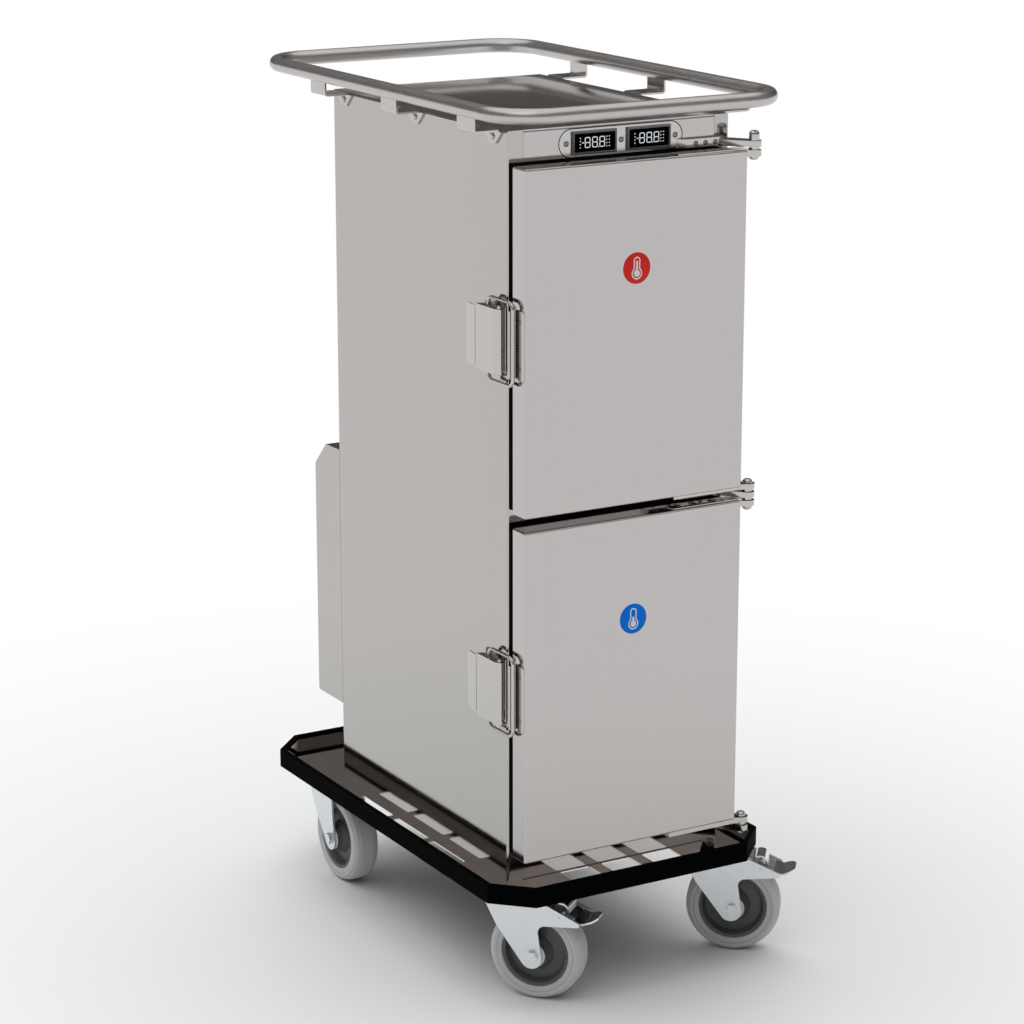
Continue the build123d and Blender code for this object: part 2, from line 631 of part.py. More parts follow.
# Rubber edge hooked over the wall of the pan
BUMPER_Z = DECK_Z - BUMPER_DROP
WALL_TOP = DECK_Z + TRAY_WALL_H + TRAY_GAP
LIP_DROP = 6.0
bumper_outline = cut_corner_outline(0)
leg_inside = cut_corner_outline(BUMPER_LEG)
cap_inside = cut_corner_outline(BUMPER_CAP)
lip_outside = cut_corner_outline(TRAY_INSET + TRAY_T + TRAY_GAP)
with BuildPart() as bumper:
    with BuildSketch(Plane.XY.offset(BUMPER_Z)):
        add(bumper_outline)
        add(leg_inside, mode=Mode.SUBTRACT)
    extrude(amount=BUMPER_H)
    with BuildSketch(Plane.XY.offset(WALL_TOP)):
        add(bumper_outline)
        add(cap_inside, mode=Mode.SUBTRACT)
    extrude(amount=BUMPER_Z + BUMPER_H - WALL_TOP)
    with BuildSketch(Plane.XY.offset(WALL_TOP - LIP_DROP)):
        add(lip_outside)
        add(cap_inside, mode=Mode.SUBTRACT)
    extrude(amount=LIP_DROP)
    rim = bumper.edges().filter_by(GeomType.LINE).filter_by_position(Axis.Z, BUMPER_Z + BUMPER_H - NEAR,
                                                                     BUMPER_Z + BUMPER_H + NEAR)
    outer_rim = rim.filter_by(lambda edge: abs(edge.center().X) > BUMPER_W / 2 - 1
                              or abs(edge.center().Y) > BUMPER_L / 2 - 1)
    fillet(outer_rim, RIM_R)
save(bumper.part, "bumper")


# Hinge bodies: bar on the front frame, cranked arm, eye on the pivot
def arm_level(level):
    """Absolute heights of a level pair counted from the deck."""
    return (DECK_Z + level[0], DECK_Z + level[1])


hinge_brackets = []
for level in BODY_ARMS:
    low, high = arm_level(level)
    bar_h = HINGE_BAR_H if level is not BODY_ARMS[1] else high - low
    with BuildPart() as hinge_body:
        with BuildSketch(Plane.XY.offset(low)):
            with BuildLine():
                Polyline((HINGE_BAR_X[0] - HINGE_BEVEL, FRONT), (HINGE_BAR_X[0] + HINGE_NOSE, BAR_FRONT),
                         (HINGE_BAR_X[1], BAR_FRONT), (HINGE_BAR_X[1] + HINGE_BEVEL, FRONT), close=True)
            make_face()
        extrude(amount=bar_h)
        with BuildSketch(Plane.XY.offset(low)):
            with BuildLine():
                Polyline((HINGE_BAR_X[1] - HINGE_ROOT, BAR_FRONT), (HINGE_BAR_X[1] - HINGE_ROOT, FRONT),
                         (HALF_W, FRONT), (HINGE_X + EYE_R * cos(EYE_TURN), HINGE_Y + EYE_R * sin(EYE_TURN)),
                         (HINGE_X - EYE_R * cos(EYE_TURN), HINGE_Y - EYE_R * sin(EYE_TURN)), close=True)
            make_face()
            with Locations((HINGE_X, HINGE_Y)):
                Circle(EYE_R)
                Circle(PIN_R + RUN_FIT, mode=Mode.SUBTRACT)
        extrude(amount=high - low)
    hinge_brackets.append(hinge_body.part)
save_group(hinge_brackets, "hinge_brackets")


def hinge_dome(tip, face):
    """Rounded end of a hinge pin between its tip and the lug it covers."""
    tall = abs(tip - face)
    with BuildPart() as dome:
        with Locations((HINGE_X, HINGE_Y, (tip + face) / 2)):
            Cylinder(COLLAR_R, tall)
        crown = dome.faces().sort_by(Axis.Z)[0 if tip < face else -1].edges()
        fillet(crown, min(tall - 2 * CONTACT_GAP, COLLAR_R - PIN_R / 2))
    return dome.part


def hinge_pin(ends, lugs):
    """Pin with a domed foot and head, and a collar between each pair of lugs."""
    bottom, top = ends
    levels = sorted(arm_level(lug) for lug in lugs)
    foot = hinge_dome(DECK_Z + bottom, levels[0][0] - CONTACT_GAP)
    head = hinge_dome(DECK_Z + top, levels[-1][1] + CONTACT_GAP)
    with BuildPart() as pin:
        with Locations((HINGE_X, HINGE_Y, DECK_Z + (bottom + top) / 2)):
            Cylinder(PIN_R, top - bottom - PIN_SHORT)
        for under, over in zip(levels, levels[1:]):
            with Locations((HINGE_X, HINGE_Y, (over[0] + under[1]) / 2)):
                Cylinder(COLLAR_R, over[0] - under[1] - 2 * CONTACT_GAP)
        add(foot)
        add(head)
    return pin.part


PIN_LUGS = ((BODY_ARMS[0], UPPER_ARMS[0]), (LOWER_ARMS[0], BODY_ARMS[1], UPPER_ARMS[1]),
            (BODY_ARMS[2], LOWER_ARMS[1]))
save_group([hinge_pin(ends, lugs) for ends, lugs in zip(PIN_ENDS, PIN_LUGS)], "hinge_pins")


# Doors
def door(name, limits, arms):
    """Shell, foam, inner pan, gasket, hinge arms and keeper of one door."""
    low, high = limits
    mid = (low + high) / 2
    with BuildPart() as shell:
        span((-HALF_W, HALF_W), (DOOR_FRONT, DOOR_BACK), (low, high))
        front_edges = shell.faces().sort_by(Axis.Y)[0].edges()
        fillet(front_edges + shell.edges().filter_by(Axis.Y), DOOR_FOLD_R)
        offset(amount=-SHEET, openings=shell.faces().sort_by(Axis.Y)[-1])
    save(shell.part, name + "_shell")

    fill_half = HALF_W - SHEET - FOAM_GAP
    with BuildPart() as foam:
        span((-fill_half, fill_half), (DOOR_FRONT + SHEET + FOAM_GAP, DOOR_BACK - SHEET),
             (low + SHEET + FOAM_GAP, high - SHEET - FOAM_GAP))
        fillet(foam.edges().filter_by(Axis.Y), DOOR_FOLD_R)
    save(foam.part, name + "_insulation")

    gasket_half = HALF_W - GASKET_INSET
    with BuildPart() as pan:
        with BuildSketch(Plane.XZ.offset(-DOOR_BACK + SHEET)):
            with Locations((0, mid)):
                RectangleRounded(2 * fill_half, high - low - 2 * (SHEET + FOAM_GAP), DOOR_FOLD_R)
        extrude(amount=-SHEET)
        pan_w = 2 * (LINER_HALF - LINER_T - PAN_MARGIN[0])
        pan_h = high - low - 2 * (OPENING_INSET + PAN_MARGIN[1])
        with BuildSketch(Plane.XZ.offset(-DOOR_BACK)):
            with Locations((0, mid)):
                RectangleRounded(pan_w, pan_h, PAN_CORNER)
        extrude(amount=-PAN_STEP, taper=PAN_SLOPE)
    save(pan.part, name + "_inner_pan")

    with BuildPart() as gasket:
        with BuildSketch(Plane.XZ.offset(-DOOR_BACK)):
            with Locations((0, mid)):
                RectangleRounded(2 * gasket_half, high - low - 2 * GASKET_INSET, GASKET_CORNER)
                RectangleRounded(2 * (gasket_half - GASKET_W), high - low - 2 * (GASKET_INSET + GASKET_W),
                                 GASKET_CORNER, mode=Mode.SUBTRACT)
        extrude(amount=-(GASKET_GAP - CONTACT_GAP))
    save(gasket.part, name + "_gasket")

    straps = []
    for level, edge_z, way in ((arms[0], high, 1), (arms[1], low, -1)):
        lug_low, lug_high = arm_level(level)
        strap_end = edge_z + way * DOOR_STRAP_T if way > 0 else min(lug_low, edge_z - DOOR_STRAP_T)
        strap_z = sorted((edge_z, strap_end))
        with BuildPart() as strap:
            strap_y = (HINGE_Y - STRAP_FWD, HINGE_Y - STRAP_FWD + DOOR_STRAP_W)
            span((HALF_W - DOOR_STRAP_L, HALF_W + DOOR_LUG_T), strap_y, strap_z)
            span((HALF_W, HALF_W + DOOR_LUG_T), strap_y,
                 (min(lug_low, strap_z[0]), max(lug_high, strap_z[1])))
            with BuildSketch(Plane.XY.offset(lug_low)):
                with BuildLine():
                    Polyline((HALF_W, strap_y[0]), (HINGE_X, HINGE_Y - EYE_R), (HINGE_X, HINGE_Y + EYE_R),
                             (HALF_W, strap_y[1]), close=True)
                make_face()
                with Locations((HINGE_X, HINGE_Y)):
                    Circle(EYE_R)
                    Circle(PIN_R + RUN_FIT, mode=Mode.SUBTRACT)
            extrude(amount=lug_high - lug_low)
        straps.append(strap.part)
    save_group(straps, name + "_hinge_arms")

    wire_back = FRONT + BAIL_CROSS[1] + BAIL_WIRE_R + WIRE_GAP
    with BuildPart() as keeper:
        span((-HALF_W - KEEPER_T, -HALF_W), (FRONT + KEEPER_SPAN[0], FRONT + KEEPER_SPAN[1]),
             (mid - KEEPER_HALF, mid + KEEPER_HALF))
        fillet(keeper.edges().filter_by(Axis.X), KEEPER_CORNER)
        span((-HALF_W - KEEPER_LIP, -HALF_W), (wire_back, wire_back + KEEPER_LIP_T),
             (mid - KEEPER_HALF + KEEPER_LIP_INSET, mid + KEEPER_HALF - KEEPER_LIP_INSET))
        fillet(keeper.faces().sort_by(Axis.X)[0].edges().filter_by(Axis.Z), KEEPER_LIP_T / 2 - NEAR)
    save(keeper.part, name + "_keeper")
    return mid


UPPER_MID = door("upper_door", UPPER_DOOR, UPPER_ARMS)
LOWER_MID = door("lower_door", LOWER_DOOR, LOWER_ARMS)


# Draw latches on the left side
def latch_point(out, back):
    """Plan position from the left side wall and the front plane."""
    return (-HALF_W - out, FRONT + back)


latch_bases = []
for latch_name, latch_z in (("upper_latch", UPPER_MID), ("lower_latch", LOWER_MID)):
    pivot = latch_point(*LATCH_PIVOT)
    bail_at = latch_point(*BAIL_PIVOT)
    with BuildPart() as latch_base:
        with BuildSketch(Plane.YZ.offset(-HALF_W - KEEPER_T)):
            with Locations((FRONT + BASE_PLATE[1], latch_z)):
                RectangleRounded(BASE_PLATE[0], 2 * BASE_HALF, BASE_CORNER)
            with Locations((FRONT + EAR_FOOT[1], latch_z)):
                Rectangle(EAR_FOOT[0], 2 * (EAR_LOW + EAR_T))
        extrude(amount=KEEPER_T)
        with BuildSketch(Plane.XY.offset(latch_z + EAR_LOW)):
            with BuildLine():
                Polyline(*[latch_point(*corner) for corner in EAR_OUTLINE], close=True)
            make_face()
        extrude(amount=EAR_T)
        mirror(about=Plane.XY.offset(latch_z))
        with Locations((*pivot, latch_z)):
            Cylinder(PIN_SMALL_R, 2 * (EAR_LOW + EAR_T + PIN_STAND))
    latch_bases.append(latch_base.part)

    with BuildPart() as lever:
        with BuildSketch(Plane.XY.offset(latch_z - LATCH_HALF)):
            with BuildLine():
                FilletPolyline(latch_point(LEVER_NOSE_OUT[0], LEVER_NOSE),
                               latch_point(LEVER_NOSE_OUT[1], LEVER_NOSE),
                               latch_point(LEVER_OUT, LEVER_SHOULDER), latch_point(LEVER_OUT, LEVER_END),
                               latch_point(LIP_OUT, LIP_END), radius=LEVER_BEND_R)
            trace(line_width=LEVER_T)
        extrude(amount=2 * LATCH_HALF)
        lip_depth = (-HALF_W - LEVER_OUT - LEVER_T, -HALF_W)
        for low, high in ((-LATCH_HALF - 1, -LIP_HALF), (LIP_HALF, LATCH_HALF + 1)):
            span(lip_depth, (FRONT + LEVER_END, FRONT + LIP_END + 1), (latch_z + low, latch_z + high), mode=Mode.SUBTRACT)
        span(lip_depth, (FRONT + LEVER_END, FRONT + LEVER_END + LIP_SLIT),
             (latch_z - LIP_SLIT_HALF, latch_z + LIP_SLIT_HALF), mode=Mode.SUBTRACT)
        lip_corners = lever.edges().filter_by(lambda edge: edge.center().Y > FRONT + LIP_END - LEVER_BEND_R
                                              and abs(edge.center().Z - latch_z) > LIP_HALF - NEAR)
        fillet(lip_corners.filter_by(lambda edge: edge.length < 2 * LEVER_T), LIP_CORNER)
        with BuildSketch(Plane.XY.offset(latch_z - LATCH_HALF)):
            with BuildLine():
                Polyline(latch_point(LEVER_NOSE_OUT[1], LEVER_NOSE), latch_point(LEVER_OUT, LEVER_SHOULDER),
                         *[latch_point(*corner) for corner in FLANGE_OUTLINE],
                         latch_point(LEVER_NOSE_OUT[0], LEVER_NOSE), close=True)
            make_face()
            with Locations(pivot):
                Circle(PIN_SMALL_R + RUN_FIT, mode=Mode.SUBTRACT)
            with Locations(bail_at):
                Circle(BAIL_WIRE_R + RUN_FIT, mode=Mode.SUBTRACT)
        extrude(amount=FLANGE_T)
        mirror(about=Plane.XY.offset(latch_z))
    save(lever.part, latch_name + "_lever")

    cross = latch_point(*BAIL_CROSS)
    reach = Vector(cross[0] - bail_at[0], cross[1] - bail_at[1], 0)
    bail_plane = Plane(origin=(*bail_at, latch_z), x_dir=reach, z_dir=reach.cross(Vector(0, 0, 1)))
    with BuildPart() as bail:
        with BuildLine(bail_plane) as bail_path:
            FilletPolyline((0, BAIL_STUB), (0, BAIL_HALF), (reach.length, BAIL_HALF),
                           (reach.length, -BAIL_HALF), (0, -BAIL_HALF), (0, -BAIL_STUB), radius=BAIL_BEND_R)
        with BuildSketch(Plane(origin=bail_path.line @ 0, z_dir=bail_path.line % 0)):
            Circle(BAIL_WIRE_R)
        sweep()
    save(bail.part, latch_name + "_bail")
save_group(latch_bases, "latch_bases")

# Refrigeration box: folded housing with a cut upper edge, open towards the cabinet
BOX_BACK = BACK + BOX_D
BOX_HALF = HALF_W - BOX_INSET
COVER_Z = BOX_Z[0] + COVER_RISE + COVER_H / 2
with BuildPart() as cooling_housing:
    with BuildSketch(Plane.YZ.offset(-BOX_HALF)):
        with BuildLine():
            Polyline((BACK, BOX_Z[0]), (BOX_BACK, BOX_Z[0]), (BOX_BACK, BOX_Z[1] - BOX_CUT),
                     (BOX_BACK - BOX_CUT, BOX_Z[1]), (BACK, BOX_Z[1]), close=True)
        make_face()
    extrude(amount=2 * BOX_HALF)
    fillet(cooling_housing.edges().filter_by(Axis.X).sort_by(Axis.Y)[-3:], BOX_FOLD_R)
    offset(amount=-SHEET, openings=cooling_housing.faces().sort_by(Axis.Y)[0])
    with BuildSketch(Plane.XZ.offset(-BOX_BACK)):
        with Locations((0, COVER_Z)):
            RectangleRounded(COVER_W - 2 * COVER_LAP, COVER_H - 2 * COVER_LAP, COVER_CORNER)
    extrude(amount=2 * SHEET, mode=Mode.SUBTRACT)
    with BuildSketch(Plane.XY.offset(BOX_Z[0])):
        with Locations((0, BACK + BOX_D / 2)):
            with GridLocations(VENT_PITCH, 1, VENT_COUNT, 1):
                SlotOverall(*VENT, rotation=90)
    extrude(amount=2 * SHEET, mode=Mode.SUBTRACT)
save(cooling_housing.part, "cooling_housing")

# Screwed-on cover with pressed louvres and the seat of the power inlet
INLET_Z = COVER_Z - COVER_H / 2 + INLET_UP
LOUVRE_Z = COVER_Z + LOUVRE_UP
with BuildPart() as louvred_cover:
    with BuildSketch(Plane.XZ.offset(-BOX_BACK)):
        with Locations((0, COVER_Z)):
            RectangleRounded(COVER_W, COVER_H, COVER_CORNER)
        with Locations((INLET_X, INLET_Z)):
            Rectangle(INLET_BODY[0] + 2 * BLOCK_FIT, INLET_BODY[1] + 2 * BLOCK_FIT, mode=Mode.SUBTRACT)
    extrude(amount=-COVER_T)
    for column in (-1, 1):
        for row in range(LOUVRE_COUNT):
            louvre_z = LOUVRE_Z + (row - (LOUVRE_COUNT - 1) / 2) * LOUVRE_PITCH
            louvre_x = column * (LOUVRE_L / 2 + LOUVRE_SPREAD)
            with BuildSketch(Plane.YZ.offset(louvre_x - LOUVRE_L / 2)):
                with BuildLine():
                    Polyline((BOX_BACK + COVER_T, louvre_z), (BOX_BACK + COVER_T + LOUVRE_D, louvre_z),
                             (BOX_BACK + COVER_T, louvre_z + 2 * LOUVRE_D), close=True)
                make_face()
            extrude(amount=LOUVRE_L)
            with BuildSketch(Plane.YZ.offset(louvre_x - LOUVRE_L / 2 + COVER_T)):
                with BuildLine():
                    Polyline((BOX_BACK, louvre_z - NEAR),
                             (BOX_BACK + COVER_T + LOUVRE_D - LOUVRE_SKIN, louvre_z - NEAR),
                             (BOX_BACK, louvre_z + 2 * LOUVRE_D - LOUVRE_SKIN), close=True)
                make_face()
            extrude(amount=LOUVRE_L - 2 * COVER_T, mode=Mode.SUBTRACT)
save(louvred_cover.part, "louvred_cover")

# Power inlet: flanged socket with three flat pins
with BuildPart() as power_inlet:
    inlet_y = BOX_BACK + COVER_T
    with BuildSketch(Plane.XZ.offset(-inlet_y)):
        with Locations((INLET_X, INLET_Z)):
            RectangleRounded(*INLET, INLET_FLANGE_T)
    extrude(amount=-INLET_FLANGE_T)
    with BuildSketch(Plane.XZ.offset(-inlet_y)):
        with Locations((INLET_X, INLET_Z)):
            Rectangle(*INLET_BODY)
    extrude(amount=INLET_DEEP)
    with BuildSketch(Plane.XZ.offset(-inlet_y - INLET_FLANGE_T)):
        with Locations((INLET_X, INLET_Z)):
            Rectangle(INLET_BODY[0] - 2 * INLET_WALL, INLET_BODY[1] - 2 * INLET_WALL)
    extrude(amount=INLET_WELL, mode=Mode.SUBTRACT)
    with BuildSketch(Plane.XZ.offset(-inlet_y + INLET_WELL - INLET_FLANGE_T)):
        with Locations(*[(INLET_X + pin_x, INLET_Z + pin_z) for pin_x, pin_z in INLET_PINS]):
            Rectangle(INLET_PIN[0], INLET_PIN[1])
    extrude(amount=-INLET_PIN[2])
save(power_inlet.part, "power_inlet")

# Heat sink on the cold plate's block, fan screwed to its fins
with BuildPart() as heat_sink:
    span((-SINK_HALF_W, SINK_HALF_W), (BACK, BACK + SINK_BASE), (BLOCK_Z - SINK_HALF_H, BLOCK_Z + SINK_HALF_H))
    with BuildSketch(Plane.XZ.offset(-BACK - SINK_BASE)):
        with Locations((0, BLOCK_Z)):
            with GridLocations((2 * SINK_HALF_W - SINK_FIN_T) / (SINK_FINS - 1), 1, SINK_FINS, 1):
                Rectangle(SINK_FIN_T, 2 * SINK_HALF_H)
    extrude(amount=-SINK_FIN)
save(heat_sink.part, "heat_sink")

FAN_Y = BACK + SINK_BASE + SINK_FIN
with BuildPart() as fan_frame:
    with BuildSketch(Plane.XZ.offset(-FAN_Y)):
        with Locations((0, BLOCK_Z)):
            RectangleRounded(FAN_W, FAN_W, FAN_CORNER)
            Circle(FAN_BORE_R, mode=Mode.SUBTRACT)
            with GridLocations(FAN_HOLES, FAN_HOLES, 2, 2):
                Circle(FAN_HOLE_R, mode=Mode.SUBTRACT)
    extrude(amount=-FAN_T)
    with BuildSketch(Plane.XZ.offset(-FAN_Y)):
        with Locations((0, BLOCK_Z)):
            Circle(FAN_HUB_R)
            Rectangle(2 * FAN_BORE_R + BLADE_T, FAN_SPOKE[0])
            Rectangle(FAN_SPOKE[0], 2 * FAN_BORE_R + BLADE_T)
    extrude(amount=-FAN_SPOKE[1])
    with Locations((0, FAN_Y + 1 + FAN_SHAFT / 2, BLOCK_Z)):
        Cylinder(PIN_SMALL_R, FAN_SHAFT, rotation=(90, 0, 0))
save(fan_frame.part, "fan_frame")

with BuildPart() as fan_impeller:
    with BuildSketch(Plane.XZ.offset(-FAN_Y - ROTOR_LIFT)):
        with Locations((0, BLOCK_Z)):
            Circle(FAN_HUB_R)
            Circle(PIN_SMALL_R + RUN_FIT, mode=Mode.SUBTRACT)
    extrude(amount=-ROTOR_T)
    for blade in range(BLADE_COUNT):
        blade_root = Plane(origin=(0, FAN_Y + ROTOR_LIFT + ROTOR_T / 2, BLOCK_Z))
        with BuildSketch(blade_root.rotated((0, blade * 360 / BLADE_COUNT, 0)).offset(FAN_HUB_R - BLADE_SINK)):
            Rectangle(BLADE_CHORD, BLADE_T, rotation=BLADE_PITCH)
        extrude(amount=FAN_BORE_R - FAN_HUB_R - TIP_GAP)
    span((-FAN_W, FAN_W), (FAN_Y, FAN_Y + ROTOR_LIFT), (BLOCK_Z - FAN_W, BLOCK_Z + FAN_W), mode=Mode.SUBTRACT)
    span((-FAN_W, FAN_W), (FAN_Y + ROTOR_LIFT + ROTOR_T, FAN_Y + 2 * FAN_T), (BLOCK_Z - FAN_W, BLOCK_Z + FAN_W),
         mode=Mode.SUBTRACT)
save(fan_impeller.part, "fan_impeller")


# Castors, drawn with the swivel axis on Z and the wheel trailing along +X
def castor_place(x, y, turn):
    """Where a castor stands and how far it has swivelled."""
    return Location((x, y, 0), (0, 0, turn))


with BuildPart() as castor_plate:
    with BuildSketch(Plane.XY.offset(CASTOR_H - PLATE_T)):
        RectangleRounded(*PLATE, PLATE_CORNER)
        with GridLocations(*PLATE_HOLES, 2, 2):
            SlotOverall(*PLATE_SLOT, mode=Mode.SUBTRACT)
    extrude(amount=PLATE_T)
    with Locations((0, 0, (CASTOR_H - PLATE_T + RACE_Z + CONTACT_GAP) / 2)):
        Cylinder(UPPER_RACE_R, CASTOR_H - PLATE_T - RACE_Z - CONTACT_GAP)
    chamfer(castor_plate.edges().filter_by(GeomType.CIRCLE).sort_by(Axis.Z)[0], UPPER_RACE_BEVEL)
    with BuildSketch(Plane.XY.offset(CROWN_Z[0] - CONTACT_GAP)):
        Circle(KING_R)
    extrude(amount=RACE_Z - CROWN_Z[0] + 1)
    with BuildSketch(Plane.XY.offset(CROWN_Z[0] - CONTACT_GAP - KING_NUT[1])):
        RegularPolygon(KING_NUT[0], 6)
    extrude(amount=KING_NUT[1])
castor_spots = (("front_left", -1, FRONT_CASTOR_Y, LEFT_TURN, True),
                ("front_right", 1, FRONT_CASTOR_Y, RIGHT_TURN, True),
                ("rear_left", -1, REAR_CASTOR_Y, REAR_TURN, False),
                ("rear_right", 1, REAR_CASTOR_Y, REAR_TURN, False))
save_group([castor_plate.part.moved(castor_place(side * (HALF_W - CASTOR_INSET), spot_y, 0))
            for _, side, spot_y, _, _ in castor_spots], "castor_plates")


def fork(braked):
    """Pressed fork: crown with race, two legs, axle bolt; horns carry the brake pedal."""
    with BuildPart() as body:
        with BuildSketch(Plane.XZ.offset(LEG_IN)) as leg:
            with BuildLine():
                Polyline((CROWN_BACK, CROWN_Z[1]), *LEG_EDGE, *(LEG_HORN if braked else LEG_PLAIN), close=True)
            make_face()
            corners = leg.vertices().filter_by(lambda vertex: vertex.Y > WHEEL_R)
            fillet(corners.filter_by(lambda vertex: abs(vertex.X - LEG_HORN[0][0]) > NEAR), LEG_CORNER_R)
            if braked:
                fillet(leg.vertices().sort_by_distance(LEG_HORN[0])[0], LEG_NOTCH_R)
            with Locations(LEG_EYE):
                Circle(LEG_EYE_R)
            if braked:
                with Locations(PEDAL_PIVOT):
                    Circle(PEDAL_PIN_R + RUN_FIT, mode=Mode.SUBTRACT)
        extrude(amount=LEG_T)
        mirror(about=Plane.XZ)
        crown_end = CROWN_BRAKED_END if braked else CROWN_END
        span((CROWN_BACK, crown_end), (-LEG_IN - LEG_T, LEG_IN + LEG_T), CROWN_Z)
        crown_edges = body.edges().filter_by(Axis.X)
        fillet(crown_edges.filter_by_position(Axis.Z, CROWN_Z[1] - NEAR, CROWN_Z[1] + NEAR), CROWN_FOLD_R)
        with Locations((0, 0, (CROWN_Z[1] + RACE_Z) / 2)):
            Cylinder(LOWER_RACE_R, RACE_Z - CROWN_Z[1])
        with BuildSketch(Plane.XY.offset(CROWN_Z[0] - 1)):
            Circle(KING_R + RUN_FIT)
        extrude(amount=RACE_Z - CROWN_Z[0] + 2, mode=Mode.SUBTRACT)
        axle = Plane.XZ.shift_origin((TRAIL, 0, WHEEL_R))
        with BuildSketch(axle):
            Circle(AXLE_R)
        extrude(amount=LEG_IN + LEG_T, both=True)
        for face in (-1, 1):
            with BuildSketch(axle.offset(face * (LEG_IN + LEG_T))):
                RegularPolygon(AXLE_NUT[0], 6)
            extrude(amount=face * AXLE_NUT[1])
    return body.part


forks = {True: fork(True), False: fork(False)}

# Wheel core with hub, dished web and rim
with BuildPart() as wheel_rim:
    with BuildSketch(Plane.XZ):
        with BuildLine():
            Polyline((AXLE_R + RUN_FIT, 0), (AXLE_R + RUN_FIT, HUB_HALF), (HUB_R, HUB_HALF),
                     (HUB_R + HUB_BEVEL[0], HUB_HALF - HUB_BEVEL[1]), (WEB_R[0], WEB_HALF[0]),
                     (WEB_R[1], WEB_HALF[1]), (RIM_R_IN, RIM_HALF[0]), (TYRE_IN_R, RIM_HALF[1]),
                     (TYRE_IN_R, 0), close=True)
        make_face()
        mirror(about=Plane.XZ)
    revolve(axis=Axis.Z)

# Grey elastic tyre with bevelled shoulders and a moulding ring on the sidewall
SIDE = WHEEL_W / 2
with BuildPart() as tyre:
    with BuildSketch(Plane.XZ):
        with BuildLine():
            Polyline((TYRE_IN_R, 0), (TYRE_IN_R, RIM_HALF[1]), (TYRE_IN_R + BEAD_STEP, SIDE - RING_STEP),
                     (RING_R[0], SIDE - RING_STEP), (RING_R[1], SIDE), (SHOULDER_R[0], SIDE),
                     (SHOULDER_R[1], SIDE - SHOULDER_DROP), (WHEEL_R, TREAD_HALF), (WHEEL_R, 0), close=True)
        make_face()
        mirror(about=Plane.XZ)
    revolve(axis=Axis.Z)

# Brake pedal between the horns: plate curled over its pin, wide toe tongue, brake shoe
with BuildPart() as brake_pedal:
    with BuildSketch(Plane.XZ.offset(-PEDAL_HALF)):
        with BuildLine():
            curl = CenterArc(PEDAL_HUMP, PEDAL_HUMP_R, PEDAL_HUMP_ARC[0], PEDAL_HUMP_ARC[1] - PEDAL_HUMP_ARC[0])
            Polyline(curl @ 0, *PEDAL_LINE)
        trace(line_width=PEDAL_T)
        with BuildLine():
            Polyline(*SHOE_OUTLINE, close=True)
        make_face()
        with Locations(PEDAL_PIVOT):
            Circle(PEDAL_EYE_R)
    extrude(amount=2 * PEDAL_HALF)
    with BuildSketch(Plane.XZ.offset(-TOE_HALF)):
        with BuildLine():
            FilletPolyline(*PEDAL_LINE, TOE_TIP, radius=PEDAL_BEND_R)
        trace(line_width=PEDAL_T)
    extrude(amount=2 * TOE_HALF)
    toe = brake_pedal.edges().filter_by(lambda edge: edge.center().X > TOE_TIP[0] - PEDAL_T
                                        and abs(edge.center().Y) > TOE_HALF - NEAR)
    fillet(toe.filter_by(lambda edge: edge.length < 1.5 * PEDAL_T), TOE_CORNER)
    with BuildSketch(Plane.XZ.shift_origin((PEDAL_PIVOT[0], 0, PEDAL_PIVOT[1]))):
        Circle(PEDAL_PIN_R)
    extrude(amount=LEG_IN + LEG_T - PEDAL_PIN_SINK, both=True)

wheel_seat = Location((TRAIL, 0, WHEEL_R), (90, 0, 0))
for spot_name, side, spot_y, turn, braked in castor_spots:
    place = castor_place(side * (HALF_W - CASTOR_INSET), spot_y, turn)
    save(forks[braked].moved(place), spot_name + "_fork")
    save(wheel_rim.part.moved(place * wheel_seat), spot_name + "_wheel_rim")
    save(tyre.part.moved(place * wheel_seat), spot_name + "_tyre")
    if braked:
        save(brake_pedal.part.moved(place), spot_name + "_brake_pedal")
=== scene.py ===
import bpy
import numpy as np
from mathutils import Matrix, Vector


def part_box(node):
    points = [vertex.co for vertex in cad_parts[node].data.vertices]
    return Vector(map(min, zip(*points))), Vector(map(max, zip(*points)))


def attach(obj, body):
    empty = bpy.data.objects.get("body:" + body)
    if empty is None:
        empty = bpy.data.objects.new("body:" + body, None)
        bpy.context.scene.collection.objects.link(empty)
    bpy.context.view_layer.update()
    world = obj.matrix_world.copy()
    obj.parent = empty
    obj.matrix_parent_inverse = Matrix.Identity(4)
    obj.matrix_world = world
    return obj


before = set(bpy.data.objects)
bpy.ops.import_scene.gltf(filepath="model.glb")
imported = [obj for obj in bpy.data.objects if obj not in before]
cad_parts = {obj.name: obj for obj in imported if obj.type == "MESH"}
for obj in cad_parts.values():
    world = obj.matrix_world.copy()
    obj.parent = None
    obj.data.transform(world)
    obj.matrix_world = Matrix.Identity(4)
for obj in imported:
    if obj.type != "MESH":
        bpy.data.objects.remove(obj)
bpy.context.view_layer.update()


# Cabinet shell: folded stainless sheets with a bright polished face, welded and riveted into one
# box. A trace of the mill's upright grain is left in the polish, and wiping leaves slow clouds that
# shift the tone and the gloss a little.
SHELL_GREY = (179, 176, 174)
SHELL_GRAIN = (420.0, 420.0, 5.0)
SHELL_LOOK = {"contrast": 0.025, "rough": 0.085, "spread": 0.06, "relief": 0.004}
CLOUD_SCALE = 4.5
CLOUD_SHARE = 0.6
NOISE_MEAN = 0.5
GRAIN_DETAIL = 4.0
GRAIN_DEPTH = 0.001


